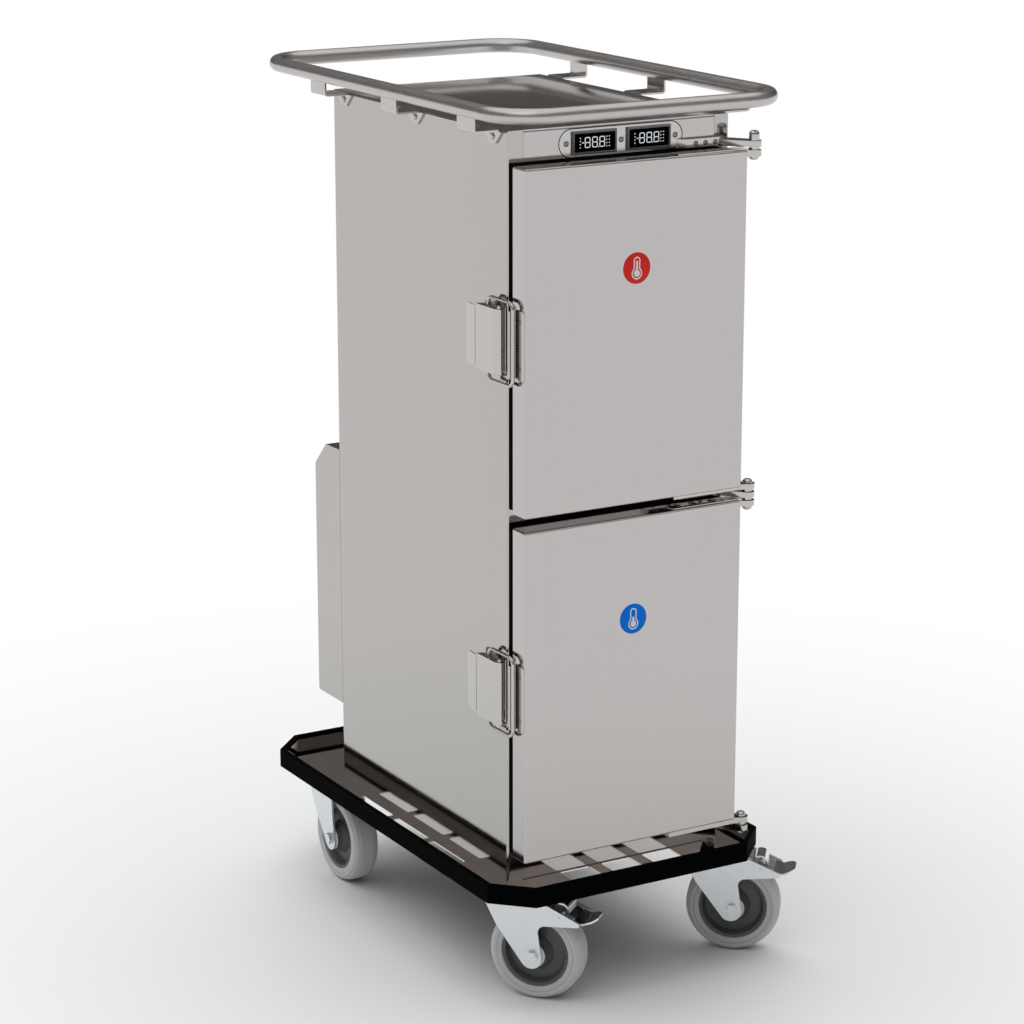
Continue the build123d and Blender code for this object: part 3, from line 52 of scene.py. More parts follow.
def shade(rgb):
    """A colour picked on screen, 0 to 255, as the linear colour that a shader takes: the sRGB
    curve, which is straight for the darkest tones and a power of 2.4 above them."""
    part = np.array(rgb) / 255.0
    linear = np.where(part > 0.04045, ((part + 0.055) / 1.055) ** 2.4, part / 12.92)
    return tuple(linear) + (1.0,)


def add(tree, kind, settings, feeds):
    """One shader node in a tree: settings are its properties, feeds its inputs, each a value or
    another node's output."""
    made = tree.nodes.new("ShaderNode" + kind)
    for key, value in settings.items():
        setattr(made, key, value)
    for key, value in feeds.items():
        if isinstance(value, bpy.types.NodeSocket):
            tree.links.new(value, made.inputs[key])
        else:
            made.inputs[key].default_value = value
    return made


def calculate(tree, operation, *values):
    """The result of one Math node on up to three values."""
    return add(tree, "Math", {"operation": operation}, dict(enumerate(values))).outputs[0]


def position(tree):
    """The place of a point on its piece, in metres."""
    return add(tree, "TexCoord", {}, {}).outputs["Object"]


def noise(tree, where, scale, detail):
    """Cloudy noise from 0 to 1, with scale clouds to the metre and detail finer layers in them."""
    feeds = {"Vector": where, "Scale": scale, "Detail": detail}
    return add(tree, "TexNoise", {}, feeds).outputs["Fac"]


def raised(tree, height, strength, depth, sunk=False):
    """The normal of a surface raised by a height from 0 to 1, or sunk by it."""
    feeds = {"Height": height, "Strength": strength, "Distance": depth}
    return add(tree, "Bump", {"invert": sunk}, feeds).outputs["Normal"]


def join(tree, sockets, sources):
    """Each named socket takes the output that is given for it."""
    for key, source in sources.items():
        tree.links.new(source, sockets[key])


def effect(name, takes, gives):
    """An empty shader node group with the named inputs and outputs: the group, its input sockets
    and its output sockets."""
    group = bpy.data.node_groups.new(name, "ShaderNodeTree")
    for label, kind in takes.items():
        group.interface.new_socket(label, in_out="INPUT", socket_type="NodeSocket" + kind)
    for label, kind in gives.items():
        group.interface.new_socket(label, in_out="OUTPUT", socket_type="NodeSocket" + kind)
    inside = group.nodes.new("NodeGroupInput").outputs
    return group, inside, group.nodes.new("NodeGroupOutput").inputs


def finish(name, plain):
    """A material with one Principled shader, whose sockets take the plain values: the material, its
    tree and the shader."""
    made = bpy.data.materials.new(name)
    made.use_nodes = True
    shader = made.node_tree.nodes["Principled BSDF"]
    for key, value in plain.items():
        shader.inputs[key].default_value = value
    return made, made.node_tree, shader


def dress(material, *names):
    """The CAD nodes of those names take the material."""
    for name in names:
        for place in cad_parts[name].material_slots:
            place.material = material


# Brushed grain: noise drawn out along one direction, times the tone, with slow clouds laid over it.
brushed, take, give = effect(
    "brushed_grain",
    {
        "Tone": "Color",
        "Grain": "Vector",
        "Contrast": "Float",
        "Rough": "Float",
        "Rough Spread": "Float",
    },
    {"Color": "Color", "Roughness": "Float", "Height": "Float"},
)
spot = position(brushed)
drawn = add(brushed, "Mapping", {}, {"Vector": spot, "Scale": take["Grain"]}).outputs[0]
grain = noise(brushed, drawn, 1.0, GRAIN_DETAIL)
cloud = noise(brushed, spot, CLOUD_SCALE, GRAIN_DETAIL)
mixed = calculate(brushed, "MULTIPLY_ADD", cloud, CLOUD_SHARE, grain)
swing = calculate(brushed, "SUBTRACT", mixed, NOISE_MEAN + NOISE_MEAN * CLOUD_SHARE)
gain = calculate(brushed, "MULTIPLY_ADD", swing, take["Contrast"], 1.0)
scaled = {0: take["Tone"], "Scale": gain}
toned = add(brushed, "VectorMath", {"operation": "SCALE"}, scaled).outputs[0]
worn = calculate(brushed, "MULTIPLY_ADD", swing, take["Rough Spread"], take["Rough"])
join(brushed, give, {"Color": toned, "Roughness": worn, "Height": grain})


def brushed_metal(name, grey, run, contrast, rough, spread, relief):
    """Brushed metal: the grain group feeds the colour, the gloss and a shallow bump of a bare metal
    shader."""
    made, tree, shader = finish(name, {"Metallic": 1.0})
    feeds = {
        "Tone": shade(grey),
        "Grain": run,
        "Contrast": contrast,
        "Rough": rough,
        "Rough Spread": spread,
    }
    lay = add(tree, "Group", {"node_tree": brushed}, feeds).outputs
    rise = raised(tree, lay["Height"], relief, GRAIN_DEPTH)
    sources = {"Base Color": lay["Color"], "Roughness": lay["Roughness"], "Normal": rise}
    join(tree, shader.inputs, sources)
    return made


shell_steel = brushed_metal("cabinet_steel", SHELL_GREY, SHELL_GRAIN, **SHELL_LOOK)
dress(shell_steel, "left_side_panel", "right_side_panel", "back_panel", "base_panel")


# Roof with its folded header, middle rail and sill: the same sheet, with its grain from left to
# right. The roof is polished a little further than the walls, so that a cloth wipes it clean.
ROOF_GREY = (184, 180, 179)
ROOF_GRAIN = (5.0, 380.0, 380.0)
ROOF_LOOK = {**SHELL_LOOK, "rough": 0.07}
roof_steel = brushed_metal("roof_steel", ROOF_GREY, ROOF_GRAIN, **ROOF_LOOK)
dress(roof_steel, "top_panel", "middle_rail", "bottom_sill")


# Liners: deep pressed compartments whose side walls carry hollow runners for trays and grids.
# Thin stainless with the mill's dull 2B skin, so the sheen is broad and even, with faint rolling
# marks. The baffle and the inner pans of the doors are of the same sheet.
LINER_GREY = (196, 196, 194)
LINER_GRAIN = (60.0, 9.0, 60.0)
LINER_LOOK = {"contrast": 0.10, "rough": 0.36, "spread": 0.12, "relief": 0.02}
liner_steel = brushed_metal("liner_steel", LINER_GREY, LINER_GRAIN, **LINER_LOOK)
dress(liner_steel, "upper_liner", "lower_liner", "hot_air_baffle")
dress(liner_steel, "upper_door_inner_pan", "lower_door_inner_pan")


# Insulation: polyurethane foam blown into the walls and doors. It is cream and full of small closed
# cells, darker where the cells sink, as painted shade in the pits. Nothing of it shows until the
# trolley is taken apart.
FOAM_CREAM = (226, 208, 160)
FOAM_PIT_SHADE = (188, 160, 104)
FOAM_CELLS = 260.0
FOAM_ROUGH = 0.95
FOAM_RELIEF = 0.6
FOAM_DEPTH = 0.002
MIX_LOW = 6
MIX_HIGH = 7
MIX_COLOUR = 2


def mix(tree, share, low, high):
    """Two colours mixed by a share, all of the low one at 0 and all of the high one at 1, on the
    sockets that a Mix node keeps for colours."""
    feeds = {"Factor": share, MIX_LOW: low, MIX_HIGH: high}
    return add(tree, "Mix", {"data_type": "RGBA"}, feeds).outputs[MIX_COLOUR]


foam, tree, shader = finish("foam", {"Roughness": FOAM_ROUGH})
packed = {"Vector": position(tree), "Scale": FOAM_CELLS}
cells = add(tree, "TexVoronoi", {}, packed).outputs["Distance"]
# Painted shade: the cream darkens where the bump sinks the cells.
tint = mix(tree, cells, shade(FOAM_CREAM), shade(FOAM_PIT_SHADE))
pits = raised(tree, cells, FOAM_RELIEF, FOAM_DEPTH, sunk=True)
join(tree, shader.inputs, {"Base Color": tint, "Normal": pits})
dress(foam, "cabinet_insulation", "upper_door_insulation", "lower_door_insulation")


# Heating element: a sheathed rod bent into a flat loop behind the baffle of the hot compartment.
# The sheath is straw to brown from heat, in bands that drift along its length.
SHEATH_STRAW = (150, 128, 98)
SHEATH_BROWN = (84, 70, 62)
SHEATH_BANDS = 14.0
SHEATH_DETAIL = 5.0
SHEATH_ROUGH = (0.34, 0.58)


def between(tree, share, limits):
    """The value that lies between two limits by a share, the first limit at 0 and the second one
    at 1."""
    feeds = {"Value": share, "To Min": limits[0], "To Max": limits[1]}
    return add(tree, "MapRange", {}, feeds).outputs[0]


sheath, tree, shader = finish("heater_sheath", {"Metallic": 1.0})
bands = noise(tree, position(tree), SHEATH_BANDS, SHEATH_DETAIL)
tint = mix(tree, bands, shade(SHEATH_STRAW), shade(SHEATH_BROWN))
dull = between(tree, bands, SHEATH_ROUGH)
join(tree, shader.inputs, {"Base Color": tint, "Roughness": dull})
dress(sheath, "heating_element")


# Cold plate and heat sink: extruded aluminium on both faces of the cooling module.
# The die leaves upright drawing lines, and the skin is satin.
DIE_GREY = (206, 208, 210)
DIE_GRAIN = (620.0, 620.0, 3.0)
DIE_LOOK = {"contrast": 0.16, "rough": 0.38, "spread": 0.2, "relief": 0.05}
aluminium = brushed_metal("aluminium", DIE_GREY, DIE_GRAIN, **DIE_LOOK)
dress(aluminium, "cold_plate", "heat_sink")


# Control plate: a pill of brushed sheet let flush into the header, with a fine gap all round,
# held by three socket screws. It is brushed along its length, finer than the roof.
MM = 0.001
PLATE_GREY = (190, 187, 185)
PLATE_GRAIN = (9.0, 700.0, 700.0)
PLATE_LOOK = {"contrast": 0.05, "rough": 0.14, "spread": 0.08, "relief": 0.01}
plate_steel = brushed_metal("plate_steel", PLATE_GREY, PLATE_GRAIN, **PLATE_LOOK)
dress(plate_steel, "control_plate")
FRONT = -343.75
PLATE_Z = 1396.7
PLATE_SCREW_X = (-98.6, 1.8, 102.0)
PLATE_HEAD = 4.6
PLATE_RISE = 1.4
HEAD_GREY = (134, 131, 129)
HEAD_GRAIN = (300.0, 300.0, 300.0)
HEAD_LOOK = {"contrast": 0.18, "rough": 0.22, "spread": 0.12, "relief": 0.03}
HEAD_SIDES = 36
HEAD_PROFILE = np.array(
    (
        (1.0, 0.0, 0.0),
        (1.0, 0.35, 0.0),
        (0.93, 0.68, 0.0),
        (0.76, 0.92, 0.0),
        (0.56, 1.0, 0.0),
        (0.50, 1.0, 1.0),
        (0.48, 0.45, 1.0),
    )
)
CREASE = 32.0
TO_FRONT = (0.0, -1.0, 0.0)
TO_RIGHT = (1.0, 0.0, 0.0)
UP = (0.0, 0.0, 1.0)


def turned(spots, facing, rings):
    """Round parts turned about facing, one at each spot. Ring k is (radius, height, hexness): its
    points stand at that radius and height, and hexness draws the circle in to a hexagon, the radius
    times the cosine of 30 degrees over the cosine of the angle from the nearest flat. Quads join
    the rings, and a flat face closes both ends."""
    spots = np.array(spots, dtype=float)
    ahead = np.array(facing)
    across = np.array(UP if ahead[2] == 0.0 else TO_RIGHT)
    upright = np.cross(ahead, across)
    turn = np.arange(HEAD_SIDES) * 2.0 * np.pi / HEAD_SIDES
    radius, height, hexness = np.array(rings, dtype=float).T
    flat = np.cos(np.pi / 6.0) / np.cos(np.mod(turn, np.pi / 3.0) - np.pi / 6.0)
    reach = radius[:, None] * (1.0 + hexness[:, None] * (flat[None, :] - 1.0))
    rim = np.cos(turn)[:, None] * across + np.sin(turn)[:, None] * upright
    shape = reach[:, :, None] * rim[None] + height[:, None, None] * ahead
    points = (spots[:, None, None, :] + shape[None]).reshape(-1, 3)
    number = np.arange(len(points)).reshape(len(spots), len(radius), HEAD_SIDES)
    after = np.roll(number, -1, axis=2)
    walls = np.stack((number[:, :-1], after[:, :-1], after[:, 1:], number[:, 1:]), axis=-1)
    ends = number[:, -1].tolist() + number[:, 0, ::-1].tolist()
    return points, walls.reshape(-1, 4).tolist() + ends


def piece(name, mesh, material, body):
    """A new piece from (points in mm, faces), with its material, riding on a body."""
    points, faces = mesh
    data = bpy.data.meshes.new(name)
    data.from_pydata(np.asarray(points) * MM, [], faces)
    data.shade_smooth()
    data.set_sharp_from_angle(angle=np.radians(CREASE))
    data.materials.append(material)
    made = bpy.data.objects.new(name, data)
    bpy.context.collection.objects.link(made)
    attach(made, body)


def socket_head(radius, rise):
    """Rings of a button head with a hexagon socket: the profile's radii times the head's radius,
    and its heights times the head's rise. A short rim and a domed shoulder lead to the hexagon,
    which is sunk to about half the rise."""
    return HEAD_PROFILE * (radius, rise, 1.0)


screw_steel = brushed_metal("screw_steel", HEAD_GREY, HEAD_GRAIN, **HEAD_LOOK)
spots = [(x, FRONT, PLATE_Z) for x in PLATE_SCREW_X]
heads = turned(spots, TO_FRONT, socket_head(PLATE_HEAD, PLATE_RISE))
piece("control_plate_screws", heads, screw_steel, "cabinet")


# Display modules: two moulded grey bezels snapped through the control plate, one for each
# compartment. The moulding has a fine spark-eroded texture.
BEZEL_GREY = (108, 111, 114)
BEZEL_DARK = (92, 95, 98)
SPARK_SCALE = 1400.0
SPARK_DETAIL = 3.0
SPARK_ROUGH = (0.38, 0.6)
SPARK_RELIEF = 0.12
SPARK_DEPTH = 0.0005
bezel_plastic, tree, shader = finish("display_plastic", {})
spark = noise(tree, position(tree), SPARK_SCALE, SPARK_DETAIL)
tint = mix(tree, spark, shade(BEZEL_DARK), shade(BEZEL_GREY))
dull = between(tree, spark, SPARK_ROUGH)
rise = raised(tree, spark, SPARK_RELIEF, SPARK_DEPTH)
join(tree, shader.inputs, {"Base Color": tint, "Roughness": dull, "Normal": rise})
dress(bezel_plastic, "display_modules")


# Display windows: panes of smoked acrylic with round corners, laid into the bezels. They are near
# black, coated against glare, and carry a few fine wipe marks.
WINDOW_CENTRES = np.array(((-48.5, PLATE_Z), (51.5, PLATE_Z)))
WINDOW_SIZE = (73.6, 29.1)
WINDOW_CORNER = 2.5
WINDOW_BACK = -346.1
WINDOW_FRONT = -346.9
CORNER_STEPS = 12
SMOKE = (3, 3, 4)
SMOKE_MARK = (9, 10, 12)
SMOKE_SHEEN = 0.0
WIPE_GRAIN = (40.0, 1.0, 260.0)
WIPE_DETAIL = 4.0
WIPE_ROUGH = (0.06, 0.2)


def prisms(outlines, back, front):
    """Flat plates facing the front, from outlines of equal point count in (x, z): each outline is
    drawn at the back and at the front, closed by a face at both ends, with quads round its edge."""
    outlines = np.asarray(outlines, dtype=float)
    count, corners, _ = outlines.shape
    depth = np.broadcast_to(np.array((back, front))[None, :, None], (count, 2, corners))
    wide = np.broadcast_to(outlines[:, None, :, 0], (count, 2, corners))
    tall = np.broadcast_to(outlines[:, None, :, 1], (count, 2, corners))
    points = np.stack((wide, depth, tall), axis=-1).reshape(-1, 3)
    number = np.arange(count * 2 * corners).reshape(count, 2, corners)
    after = np.roll(number, -1, axis=2)
    edge = np.stack((number[:, 0], after[:, 0], after[:, 1], number[:, 1]), axis=-1)
    ends = number[:, 1].tolist() + number[:, 0, ::-1].tolist()
    return points, edge.reshape(-1, 4).tolist() + ends


def rounded(centres, size, corner):
    """Outlines of rectangles with round corners: each point is a corner centre plus the radius at
    its angle, the angle running once round and the corner centre changing every quarter turn."""
    steps = np.arange(4 * CORNER_STEPS)
    quarter = steps // CORNER_STEPS
    turn = (quarter + (steps % CORNER_STEPS) / (CORNER_STEPS - 1.0)) * np.pi / 2.0
    side = np.array(((1, 1), (-1, 1), (-1, -1), (1, -1)))[quarter]
    round_off = corner * np.stack((np.cos(turn), np.sin(turn)), axis=-1)
    edge = side * (np.array(size) / 2.0 - corner) + round_off
    return np.asarray(centres, dtype=float)[:, None, :] + edge[None]


window, tree, shader = finish("display_window", {"Specular IOR Level": SMOKE_SHEEN})
wipes = add(tree, "Mapping", {}, {"Vector": position(tree), "Scale": WIPE_GRAIN}).outputs[0]
marks = noise(tree, wipes, 1.0, WIPE_DETAIL)
tint = mix(tree, marks, shade(SMOKE), shade(SMOKE_MARK))
dull = between(tree, marks, WIPE_ROUGH)
join(tree, shader.inputs, {"Base Color": tint, "Roughness": dull})
outlines = rounded(WINDOW_CENTRES, WINDOW_SIZE, WINDOW_CORNER)
panes = prisms(outlines, WINDOW_BACK, WINDOW_FRONT)
piece("display_windows", panes, window, "cabinet")


# Display digits: white seven-segment lamps behind each window, a minus bar, three eights and a
# decimal point, with a column of small status lamps on the left and two columns on the right.
DIGIT_TALL = 15.4
DIGIT_WIDE = 8.6
DIGIT_COUNT = 3
DIGIT_STEP = 13.3
DIGIT_START = -13.3
DIGIT_FRONT = -347.05
BAR_THICK = 1.5
BAR_SHORTEN = 0.4
BAR_STAND = (1.0, 0.5)
MINUS_LONG = 4.6
MINUS_X = -21.2
POINT_X = 6.7
POINT_DROP = 0.2
LAMP_X = (-26.4, 21.6, 26.4)
LAMP_Z = (-7.5, -2.5, 2.5, 7.5)
LAMP_R = 0.95
LAMP_WHITE = (235, 238, 240)
LAMP_EDGE = (190, 197, 205)
LAMP_SCALE = 700.0
LAMP_DETAIL = 2.0
LAMP_PLAIN = {"Roughness": 0.4, "Emission Strength": 0.55}


def segment_bars(centres, length, upright):
    """Outlines of six-cornered bars, pointed at both ends: a bar lies along x, or along z where it
    is upright."""
    half = length / 2.0
    edge = BAR_THICK / 2.0
    inset = half - edge
    bar = np.array(
        ((half, 0), (inset, edge), (-inset, edge), (-half, 0), (-inset, -edge), (inset, -edge))
    )
    return np.asarray(centres)[:, None, :] + (bar[:, ::-1][::-1] if upright else bar)[None]


lit, tree, shader = finish("display_light", LAMP_PLAIN)
glow = noise(tree, position(tree), LAMP_SCALE, LAMP_DETAIL)
tint = mix(tree, glow, shade(LAMP_WHITE), shade(LAMP_EDGE))
join(tree, shader.inputs, {"Base Color": tint, "Emission Color": tint})
half_wide = DIGIT_WIDE / 2.0
half_tall = DIGIT_TALL / 2.0
columns = DIGIT_START + DIGIT_STEP * np.arange(DIGIT_COUNT)
starts = np.stack((columns, np.zeros(DIGIT_COUNT)), axis=-1)[:, None, :]
level = starts + np.array(((0, half_tall), (0, 0), (0, -half_tall)))
corners = np.array(((-1, 1), (1, 1), (-1, -1), (1, -1))) * (half_wide, half_tall)
standing = starts + corners * BAR_STAND
bars = np.concatenate(
    (
        segment_bars(level.reshape(-1, 2), DIGIT_WIDE - BAR_SHORTEN, False),
        segment_bars(standing.reshape(-1, 2), half_tall - BAR_SHORTEN, True),
        segment_bars([(MINUS_X, 0.0)], MINUS_LONG, False),
    )
)
shown = (WINDOW_CENTRES[:, None, None, :] + bars[None]).reshape(-1, *bars.shape[1:])
digits = prisms(shown, WINDOW_BACK, DIGIT_FRONT)
piece("display_digits", digits, lit, "cabinet")
lamps = np.stack(np.meshgrid(LAMP_X, LAMP_Z), axis=-1).reshape(-1, 2)
dots = np.concatenate((lamps, [(POINT_X, -half_tall - POINT_DROP)]))
dots = (WINDOW_CENTRES[:, None, :] + dots[None]).reshape(-1, 2)
discs = rounded(dots, (2.0 * LAMP_R, 2.0 * LAMP_R), LAMP_R)
lenses = prisms(discs, WINDOW_BACK, DIGIT_FRONT)
piece("display_lamps", lenses, lit, "cabinet")


# Doors: a folded outer shell filled with foam, closed by a pressed inner pan. The face is polished
# like the walls, with its trace of grain upright, and the folded edges are bare and bright.
DOOR_GREY = (186, 182, 181)
DOOR_GRAIN = (360.0, 360.0, 4.0)
DOOR_LOOK = {**SHELL_LOOK, "rough": 0.10}
door_steel = brushed_metal("door_steel", DOOR_GREY, DOOR_GRAIN, **DOOR_LOOK)
dress(door_steel, "upper_door_shell", "lower_door_shell")


# Gaskets and bumper: black rubber with a dull skin. The gaskets are extruded strips on the inner
# pans, and the bumper is one moulded ring round the tray. A thin ring of the same black rubber in
# the fine gap round the control plate is painted shade: it stands for the shadow in that groove.
RUBBER_BLACK = (1, 1, 2)
RUBBER_BLOOM = (5, 6, 7)
RUBBER_SHEEN = 0.01
MOTTLE_SCALE = 900.0
MOTTLE_DETAIL = 3.0
BLOOM_SCALE = 16.0
BLOOM_DETAIL = 5.0
SKIN_DEPTH = 0.0006
RUBBER_SKIN = {"fine": MOTTLE_SCALE, "slow": BLOOM_SCALE, "rough": (0.5, 0.72), "relief": 0.2}
# Painted shade: a thin black ring in the gap round the control plate, for the groove's shadow.
GROOVE_SHADE_MID = (1.5, PLATE_Z)
GROOVE_SHADE_SIZE = (226.0, 44.0)
GROOVE_SHADE_WIDE = 1.5
GROOVE_SHADE_LAP = 0.2
GROOVE_SHADE_FLAT = 0.001
GROOVE_SHADE_BACK = FRONT + 0.6
GROOVE_SHADE_FRONT = FRONT - 0.08

# Mottled skin: fine noise for the moulded grain and slow noise for the bloom, each from 0 to 1.
mottle, take, give = effect(
    "mottled_skin", {"Fine": "Float", "Slow": "Float"}, {"Grain": "Float", "Bloom": "Float"}
)
spot = position(mottle)
fine = noise(mottle, spot, take["Fine"], MOTTLE_DETAIL)
slow = noise(mottle, spot, take["Slow"], BLOOM_DETAIL)
join(mottle, give, {"Grain": fine, "Bloom": slow})


def moulded(name, deep, pale, fine, slow, rough, relief):
    """A moulded skin: the bloom mixes two shades, rough is its range of roughness, and the grain
    gives the bump. The material comes with its tree, its shader and its mixed colour."""
    made, tree, shader = finish(name, {})
    lay = add(tree, "Group", {"node_tree": mottle}, {"Fine": fine, "Slow": slow}).outputs
    tint = mix(tree, lay["Bloom"], shade(deep), shade(pale))
    dull = between(tree, lay["Bloom"], rough)
    rise = raised(tree, lay["Grain"], relief, SKIN_DEPTH)
    join(tree, shader.inputs, {"Base Color": tint, "Roughness": dull, "Normal": rise})
    return made, tree, shader, tint


def flat_ring(outer, inner, back, front):
    """A flat ring facing the front between two outlines of equal point count in (x, z). Four loops,
    the outer one at the back and the front and then the inner one at the front and the back, are
    joined in a circle by quads."""
    loops = ((outer, back), (outer, front), (inner, front), (inner, back))
    points = np.concatenate(
        [np.column_stack((line[:, 0], np.full(len(line), y), line[:, 1])) for line, y in loops]
    )
    number = np.arange(len(points)).reshape(len(loops), -1)
    after = np.roll(number, -1, axis=1)
    next_loop = np.roll(number, -1, axis=0)
    faces = np.stack((number, after, np.roll(after, -1, axis=0), next_loop), axis=-1)
    return points, faces.reshape(-1, 4).tolist()


rubber, _, shader, _ = moulded("black_rubber", RUBBER_BLACK, RUBBER_BLOOM, **RUBBER_SKIN)
shader.inputs["Specular IOR Level"].default_value = RUBBER_SHEEN
dress(rubber, "bumper", "upper_door_gasket", "lower_door_gasket")
# Painted shade: the black ring that draws the shadow in the control plate's groove.
inside = np.array(GROOVE_SHADE_SIZE) - 2.0 * GROOVE_SHADE_LAP
outside = inside + 2.0 * GROOVE_SHADE_WIDE
pills = [rounded([GROOVE_SHADE_MID], size, size[1] / 2.0 - GROOVE_SHADE_FLAT)[0] for size in (outside, inside)]
groove_shade = flat_ring(*pills, GROOVE_SHADE_BACK, GROOVE_SHADE_FRONT)
piece("control_plate_groove_shade", groove_shade, rubber, "cabinet")


# Door signs: printed discs that tell the hot compartment, red, from the cold one, blue. A plain
# thermometer is printed on each in three layers, high on the hot door and low on the cold one.
# The print has a roller texture.
DOOR_FRONT = -398.45
SIGN_X = -2.0
SIGN_Z = {"upper": 1202.2, "lower": 630.2}
SIGN_INK = {
    "upper": ((238, 54, 46), (228, 46, 40)),
    "lower": ((2, 126, 246), (1, 118, 234)),
}
SIGN_FILL = {"upper": 12.0, "lower": 3.6}
SIGN_SHEEN = 0.08
SIGN_SKIN = {"fine": 1600.0, "slow": 90.0, "rough": (0.3, 0.46), "relief": 0.05}
SIGN_R = 25.0
SIGN_THICK = 0.5
SIGN_EDGE = 0.8 * SIGN_THICK
SIGN_SINK = 0.2
SIGN_BEVEL = 0.3
SIGN_RINGS = [(SIGN_R, -SIGN_SINK, 0), (SIGN_R, SIGN_EDGE, 0), (SIGN_R - SIGN_BEVEL, SIGN_THICK, 0)]
INK_WHITE = (246, 246, 245)
INK_SHADE = (232, 233, 234)
INK_SKIN = {"fine": 1600.0, "slow": 120.0, "rough": (0.32, 0.5), "relief": 0.05}
LAYER_THICK = 0.09
GLASS_HALF = 6.1
GLASS_TOP = 18.0
GLASS_LINE = 2.1
BULB_R = 9.6
BULB_Z = -8.4
COLUMN_HALF = 1.8
DROP_R = 5.4
NECK_STEPS = 30


def keyhole(centre, half, top, bulb):
    """The outline of a bulb with a round-topped stem: an arc about the bulb's centre from one side
    of the stem to the other, opening by twice the arcsine of half over bulb, and then a half circle
    of the stem's half width."""
    opening = np.arcsin(half / bulb)
    about = np.linspace(0.5 * np.pi + opening, 2.5 * np.pi - opening, NECK_STEPS)
    over = np.linspace(0.0, np.pi, NECK_STEPS)
    low = bulb * np.stack((np.cos(about), np.sin(about)), axis=-1) + (0.0, BULB_Z)
    high = half * np.stack((np.cos(over), np.sin(over)), axis=-1) + (0.0, top - half)
    return (np.concatenate((low, high)) + centre)[None]


white_ink, *_ = moulded("sign_white", INK_WHITE, INK_SHADE, **INK_SKIN)
for level_name, (ink, ink_shade) in SIGN_INK.items():
    door = level_name + "_door"
    ground, _, shader, _ = moulded("sign_" + level_name, ink, ink_shade, **SIGN_SKIN)
    shader.inputs["Specular IOR Level"].default_value = SIGN_SHEEN
    centre = np.array((SIGN_X, SIGN_Z[level_name]))
    disc = turned([(centre[0], DOOR_FRONT, centre[1])], TO_FRONT, SIGN_RINGS)
    piece(door + "_sign", disc, ground, door)
    glass = keyhole(centre, GLASS_HALF, GLASS_TOP, BULB_R)
    bore = keyhole(centre, GLASS_HALF - GLASS_LINE, GLASS_TOP - GLASS_LINE, BULB_R - GLASS_LINE)
    column = keyhole(centre, COLUMN_HALF, SIGN_FILL[level_name], DROP_R)
    layers = (("glass", glass, white_ink), ("bore", bore, ground), ("column", column, white_ink))
    for rank, (layer, outline, layer_ink) in enumerate(layers, start=1):
        top = DOOR_FRONT - SIGN_THICK - rank * LAYER_THICK
        printed = prisms(outline, DOOR_FRONT - SIGN_EDGE, top)
        piece(door + "_sign_" + layer, printed, layer_ink, door)


# Hinges: milled bars screwed to the front frame, straps on the door edges, and domed pins between
# them. They are turned and milled stainless, bright, with a short tool grain.
BRIGHT_GREY = (188, 185, 183)
BRIGHT_GRAIN = (90.0, 90.0, 520.0)
BRIGHT_LOOK = {"contrast": 0.03, "rough": 0.10, "spread": 0.04, "relief": 0.002}
HINGE_FRONT = -354.75
HINGE_LEVELS = (1382.2, 806.7, 231.2)
HINGE_SCREW_X = (134.0, 152.5, 171.0)
HINGE_HEAD = 4.2
HINGE_RISE = 1.2
STRAP_SCREW_X = (92.0, 124.0, 156.0)
STRAP_Y = -381.45
STRAP_HEAD = 4.2
STRAP_RISE = 1.1
DOWN = (0.0, 0.0, -1.0)
bright_steel = brushed_metal("bright_steel", BRIGHT_GREY, BRIGHT_GRAIN, **BRIGHT_LOOK)
dress(bright_steel, "hinge_brackets", "hinge_pins")
spots = [(x, HINGE_FRONT, z) for z in HINGE_LEVELS for x in HINGE_SCREW_X]
heads = turned(spots, TO_FRONT, socket_head(HINGE_HEAD, HINGE_RISE))
piece("hinge_bar_screws", heads, screw_steel, "cabinet")
rings = socket_head(STRAP_HEAD, STRAP_RISE)
for level_name in ("upper", "lower"):
    door = level_name + "_door"
    dress(bright_steel, door + "_hinge_arms")
    low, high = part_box(level_name + "_door_hinge_arms")
    above = turned([(x, STRAP_Y, high.z / MM) for x in STRAP_SCREW_X], UP, rings)
    below = turned([(x, STRAP_Y, low.z / MM) for x in STRAP_SCREW_X], DOWN, rings)
    piece(door + "_top_strap_screws", above, screw_steel, door)
    piece(door + "_bottom_strap_screws", below, screw_steel, door)


# Latches: draw latches on the left wall. A pressed lever turns on a base, and its wire bail hooks
# over the keeper on the door edge. All are bright pressed stainless, and two screws hold each
# keeper.
KEEPER_FACE = -206.0
KEEPER_SCREW_Y = -386.0
KEEPER_SPREAD = 37.0
KEEPER_HEAD = 3.2
KEEPER_RISE = 1.0
LATCH_MID = {"upper": 1096.65, "lower": 523.15}
TO_LEFT = (-1.0, 0.0, 0.0)
dress(bright_steel, "latch_bases")
for level_name, middle in LATCH_MID.items():
    door = level_name + "_door"
    dress(bright_steel, level_name + "_latch_lever", level_name + "_latch_bail", door + "_keeper")
    spots = [(KEEPER_FACE, KEEPER_SCREW_Y, middle + side * KEEPER_SPREAD) for side in (-1, 1)]
    heads = turned(spots, TO_LEFT, socket_head(KEEPER_HEAD, KEEPER_RISE))
    piece(level_name + "_keeper_screws", heads, screw_steel, door)


# Push rail: one stainless tube bent into a ring round the roof, on six folded brackets with bolts.
# The tube is ground satin, which leaves fine lines and a slight waviness. The brackets are bright.
TUBE_GREY = (188, 185, 184)
TUBE_GRAIN = (120.0, 26.0, 120.0)
TUBE_LOOK = {"contrast": 0.05, "rough": 0.29, "spread": 0.08, "relief": 0.01}
tube_steel = brushed_metal("rail_tube", TUBE_GREY, TUBE_GRAIN, **TUBE_LOOK)
dress(tube_steel, "push_rail")
dress(bright_steel, "rail_brackets", "rail_bolts")
